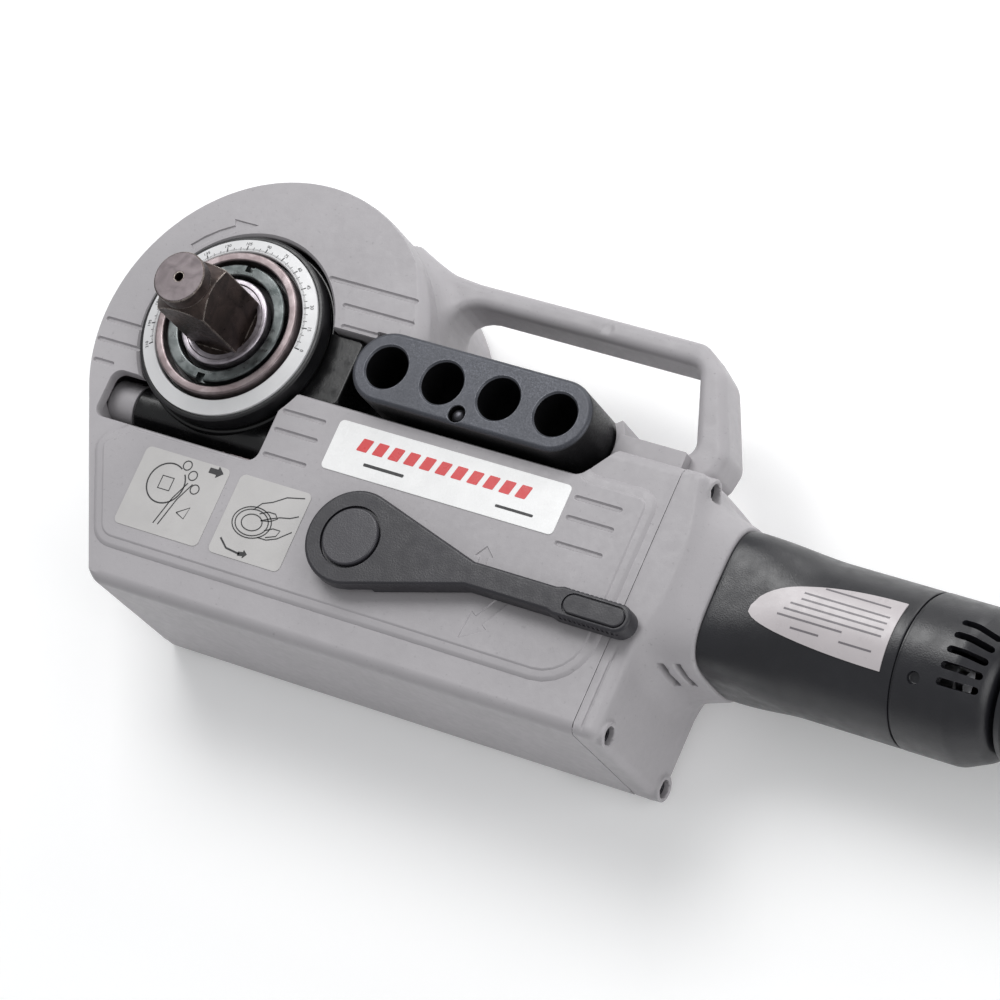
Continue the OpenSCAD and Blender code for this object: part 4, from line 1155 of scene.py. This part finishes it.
def feet():
    low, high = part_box("rubber_feet")
    made = []
    for x, y in FEET:
        made.append(lathe("foot", [(0, 0, 0), (4, 0, 0), (4, 1, 0.4), (5.5, 1, 0.4), (5.5, 0, 0),
                                   (9.4, 0, 0.8), (9.8, 3, 0.5), (9.8, high.z / MM, 0),
                                   (0, high.z / MM, 0)], at=(x, y), segments=48))
    return piece(merged("rubber_feet_set", made), "rubber", "root", "foot_rubber", "rubber_feet")


# ---------------------------------------------------------------- kept CAD nodes

KEPT = {
    "bronze": ["front_bush", "rear_bush", "counter_bushes", "worm_wheel"],
    "gear": ["worm_bearings", "final_gear", "spindle_circlip", "counter_pinion", "worm_shaft",
             "input_gear", "idler_shaft",
             "idler_gear", "lever_shaft", "motor_bearings", "armature_shaft", "drive_bracket"],
    "zinc": ["cover_screws", "grip_screws"],
    "dark_screw": ["flange_screws", "motor_screws"],
    "rubber": ["spindle_seal"],
    "switch": ["direction_switch", "switch_body", "cooling_fan"],
    "laminated": ["stator_core", "armature_core"],
    "copper": ["field_coils", "commutator"],
    "brass": ["brush_holders"],
    "black": ["carbon_brushes"],
}


def keep_cad():
    for look, names in KEPT.items():
        for name in names:
            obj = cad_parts[name]
            obj.data.materials.clear()
            obj.data.materials.append(LOOKS[look])
            weld = obj.modifiers.new("weld", "WELD")
            weld.merge_threshold = 1e-6
            bevel = obj.modifiers.new("edges", "BEVEL")
            bevel.width = 0.0002
            bevel.segments = 2
            bevel.limit_method = "ANGLE"
            bevel.angle_limit = math.radians(40)


# ---------------------------------------------------------------- stage


def stage():
    size = 6.0
    corners = [(x * size / MM, y * size / MM, 0) for x, y in ((-1, -1), (1, -1), (1, 1), (-1, 1))]
    floor = new_object("studio_floor", corners, [(0, 1, 2, 3)])
    s = Surface("studio_floor", roughness=0.7)
    s.colour(s.mix(s.noise(0.4, 2), (0.93, 0.93, 0.93, 1), (0.95, 0.95, 0.95, 1)))
    s.shader.inputs["Emission Color"].default_value = (1, 1, 1, 1)
    s.shader.inputs["Emission Strength"].default_value = 0.14
    floor.data.materials.append(s.material)
    world = bpy.data.worlds.new("studio")
    scene.world = world
    world.use_nodes = True
    world.node_tree.nodes["Background"].inputs["Color"].default_value = (0.97, 0.985, 1.0, 1)
    world.node_tree.nodes["Background"].inputs["Strength"].default_value = 0.43
    target = Vector((0.15, -0.04, 0.08))
    for name, place, width, power in (("key", (-0.5, 0.9, 1.7), 1.1, 23),
                                      ("fill", (1.9, -0.1, 0.9), 1.3, 12),
                                      ("back", (0.3, 1.6, 0.7), 1.0, 8)):
        light = bpy.data.lights.new(name, "AREA")
        light.size = width
        light.energy = power
        lamp = placed(name, light)
        lamp.location = place
        lamp.rotation_mode = "QUATERNION"
        lamp.rotation_quaternion = (target - Vector(place)).to_track_quat("-Z", "Y")
    camera = bpy.data.cameras.new("camera")
    camera.lens = 166.0
    camera.sensor_width = 36.0
    viewer = placed("camera", camera)
    forward = Vector((-0.487, 0.232, -0.842)).normalized()
    right = Vector((0.838, 0.396, -0.375))
    right = (right - forward * right.dot(forward)).normalized()
    up = right.cross(forward)
    turn = Matrix((right, up, -forward)).transposed().to_4x4()
    viewer.matrix_world = Matrix.Translation((1.1748, -0.5216, 1.8311)) @ turn
    camera.clip_end = 50
    scene.camera = viewer
    scene.view_settings.view_transform = "Standard"


# ---------------------------------------------------------------- build

keep_cad()
housing()
handle()
flange()
rear()
gear_case()
plug()
nut()
bronze_ring()
spindle()
dial()
former_block()
lever()
name_plate()
decals()
motor()
motor_cover()
rating_plate()
grip()
controls()
gland()
feet()
stage()
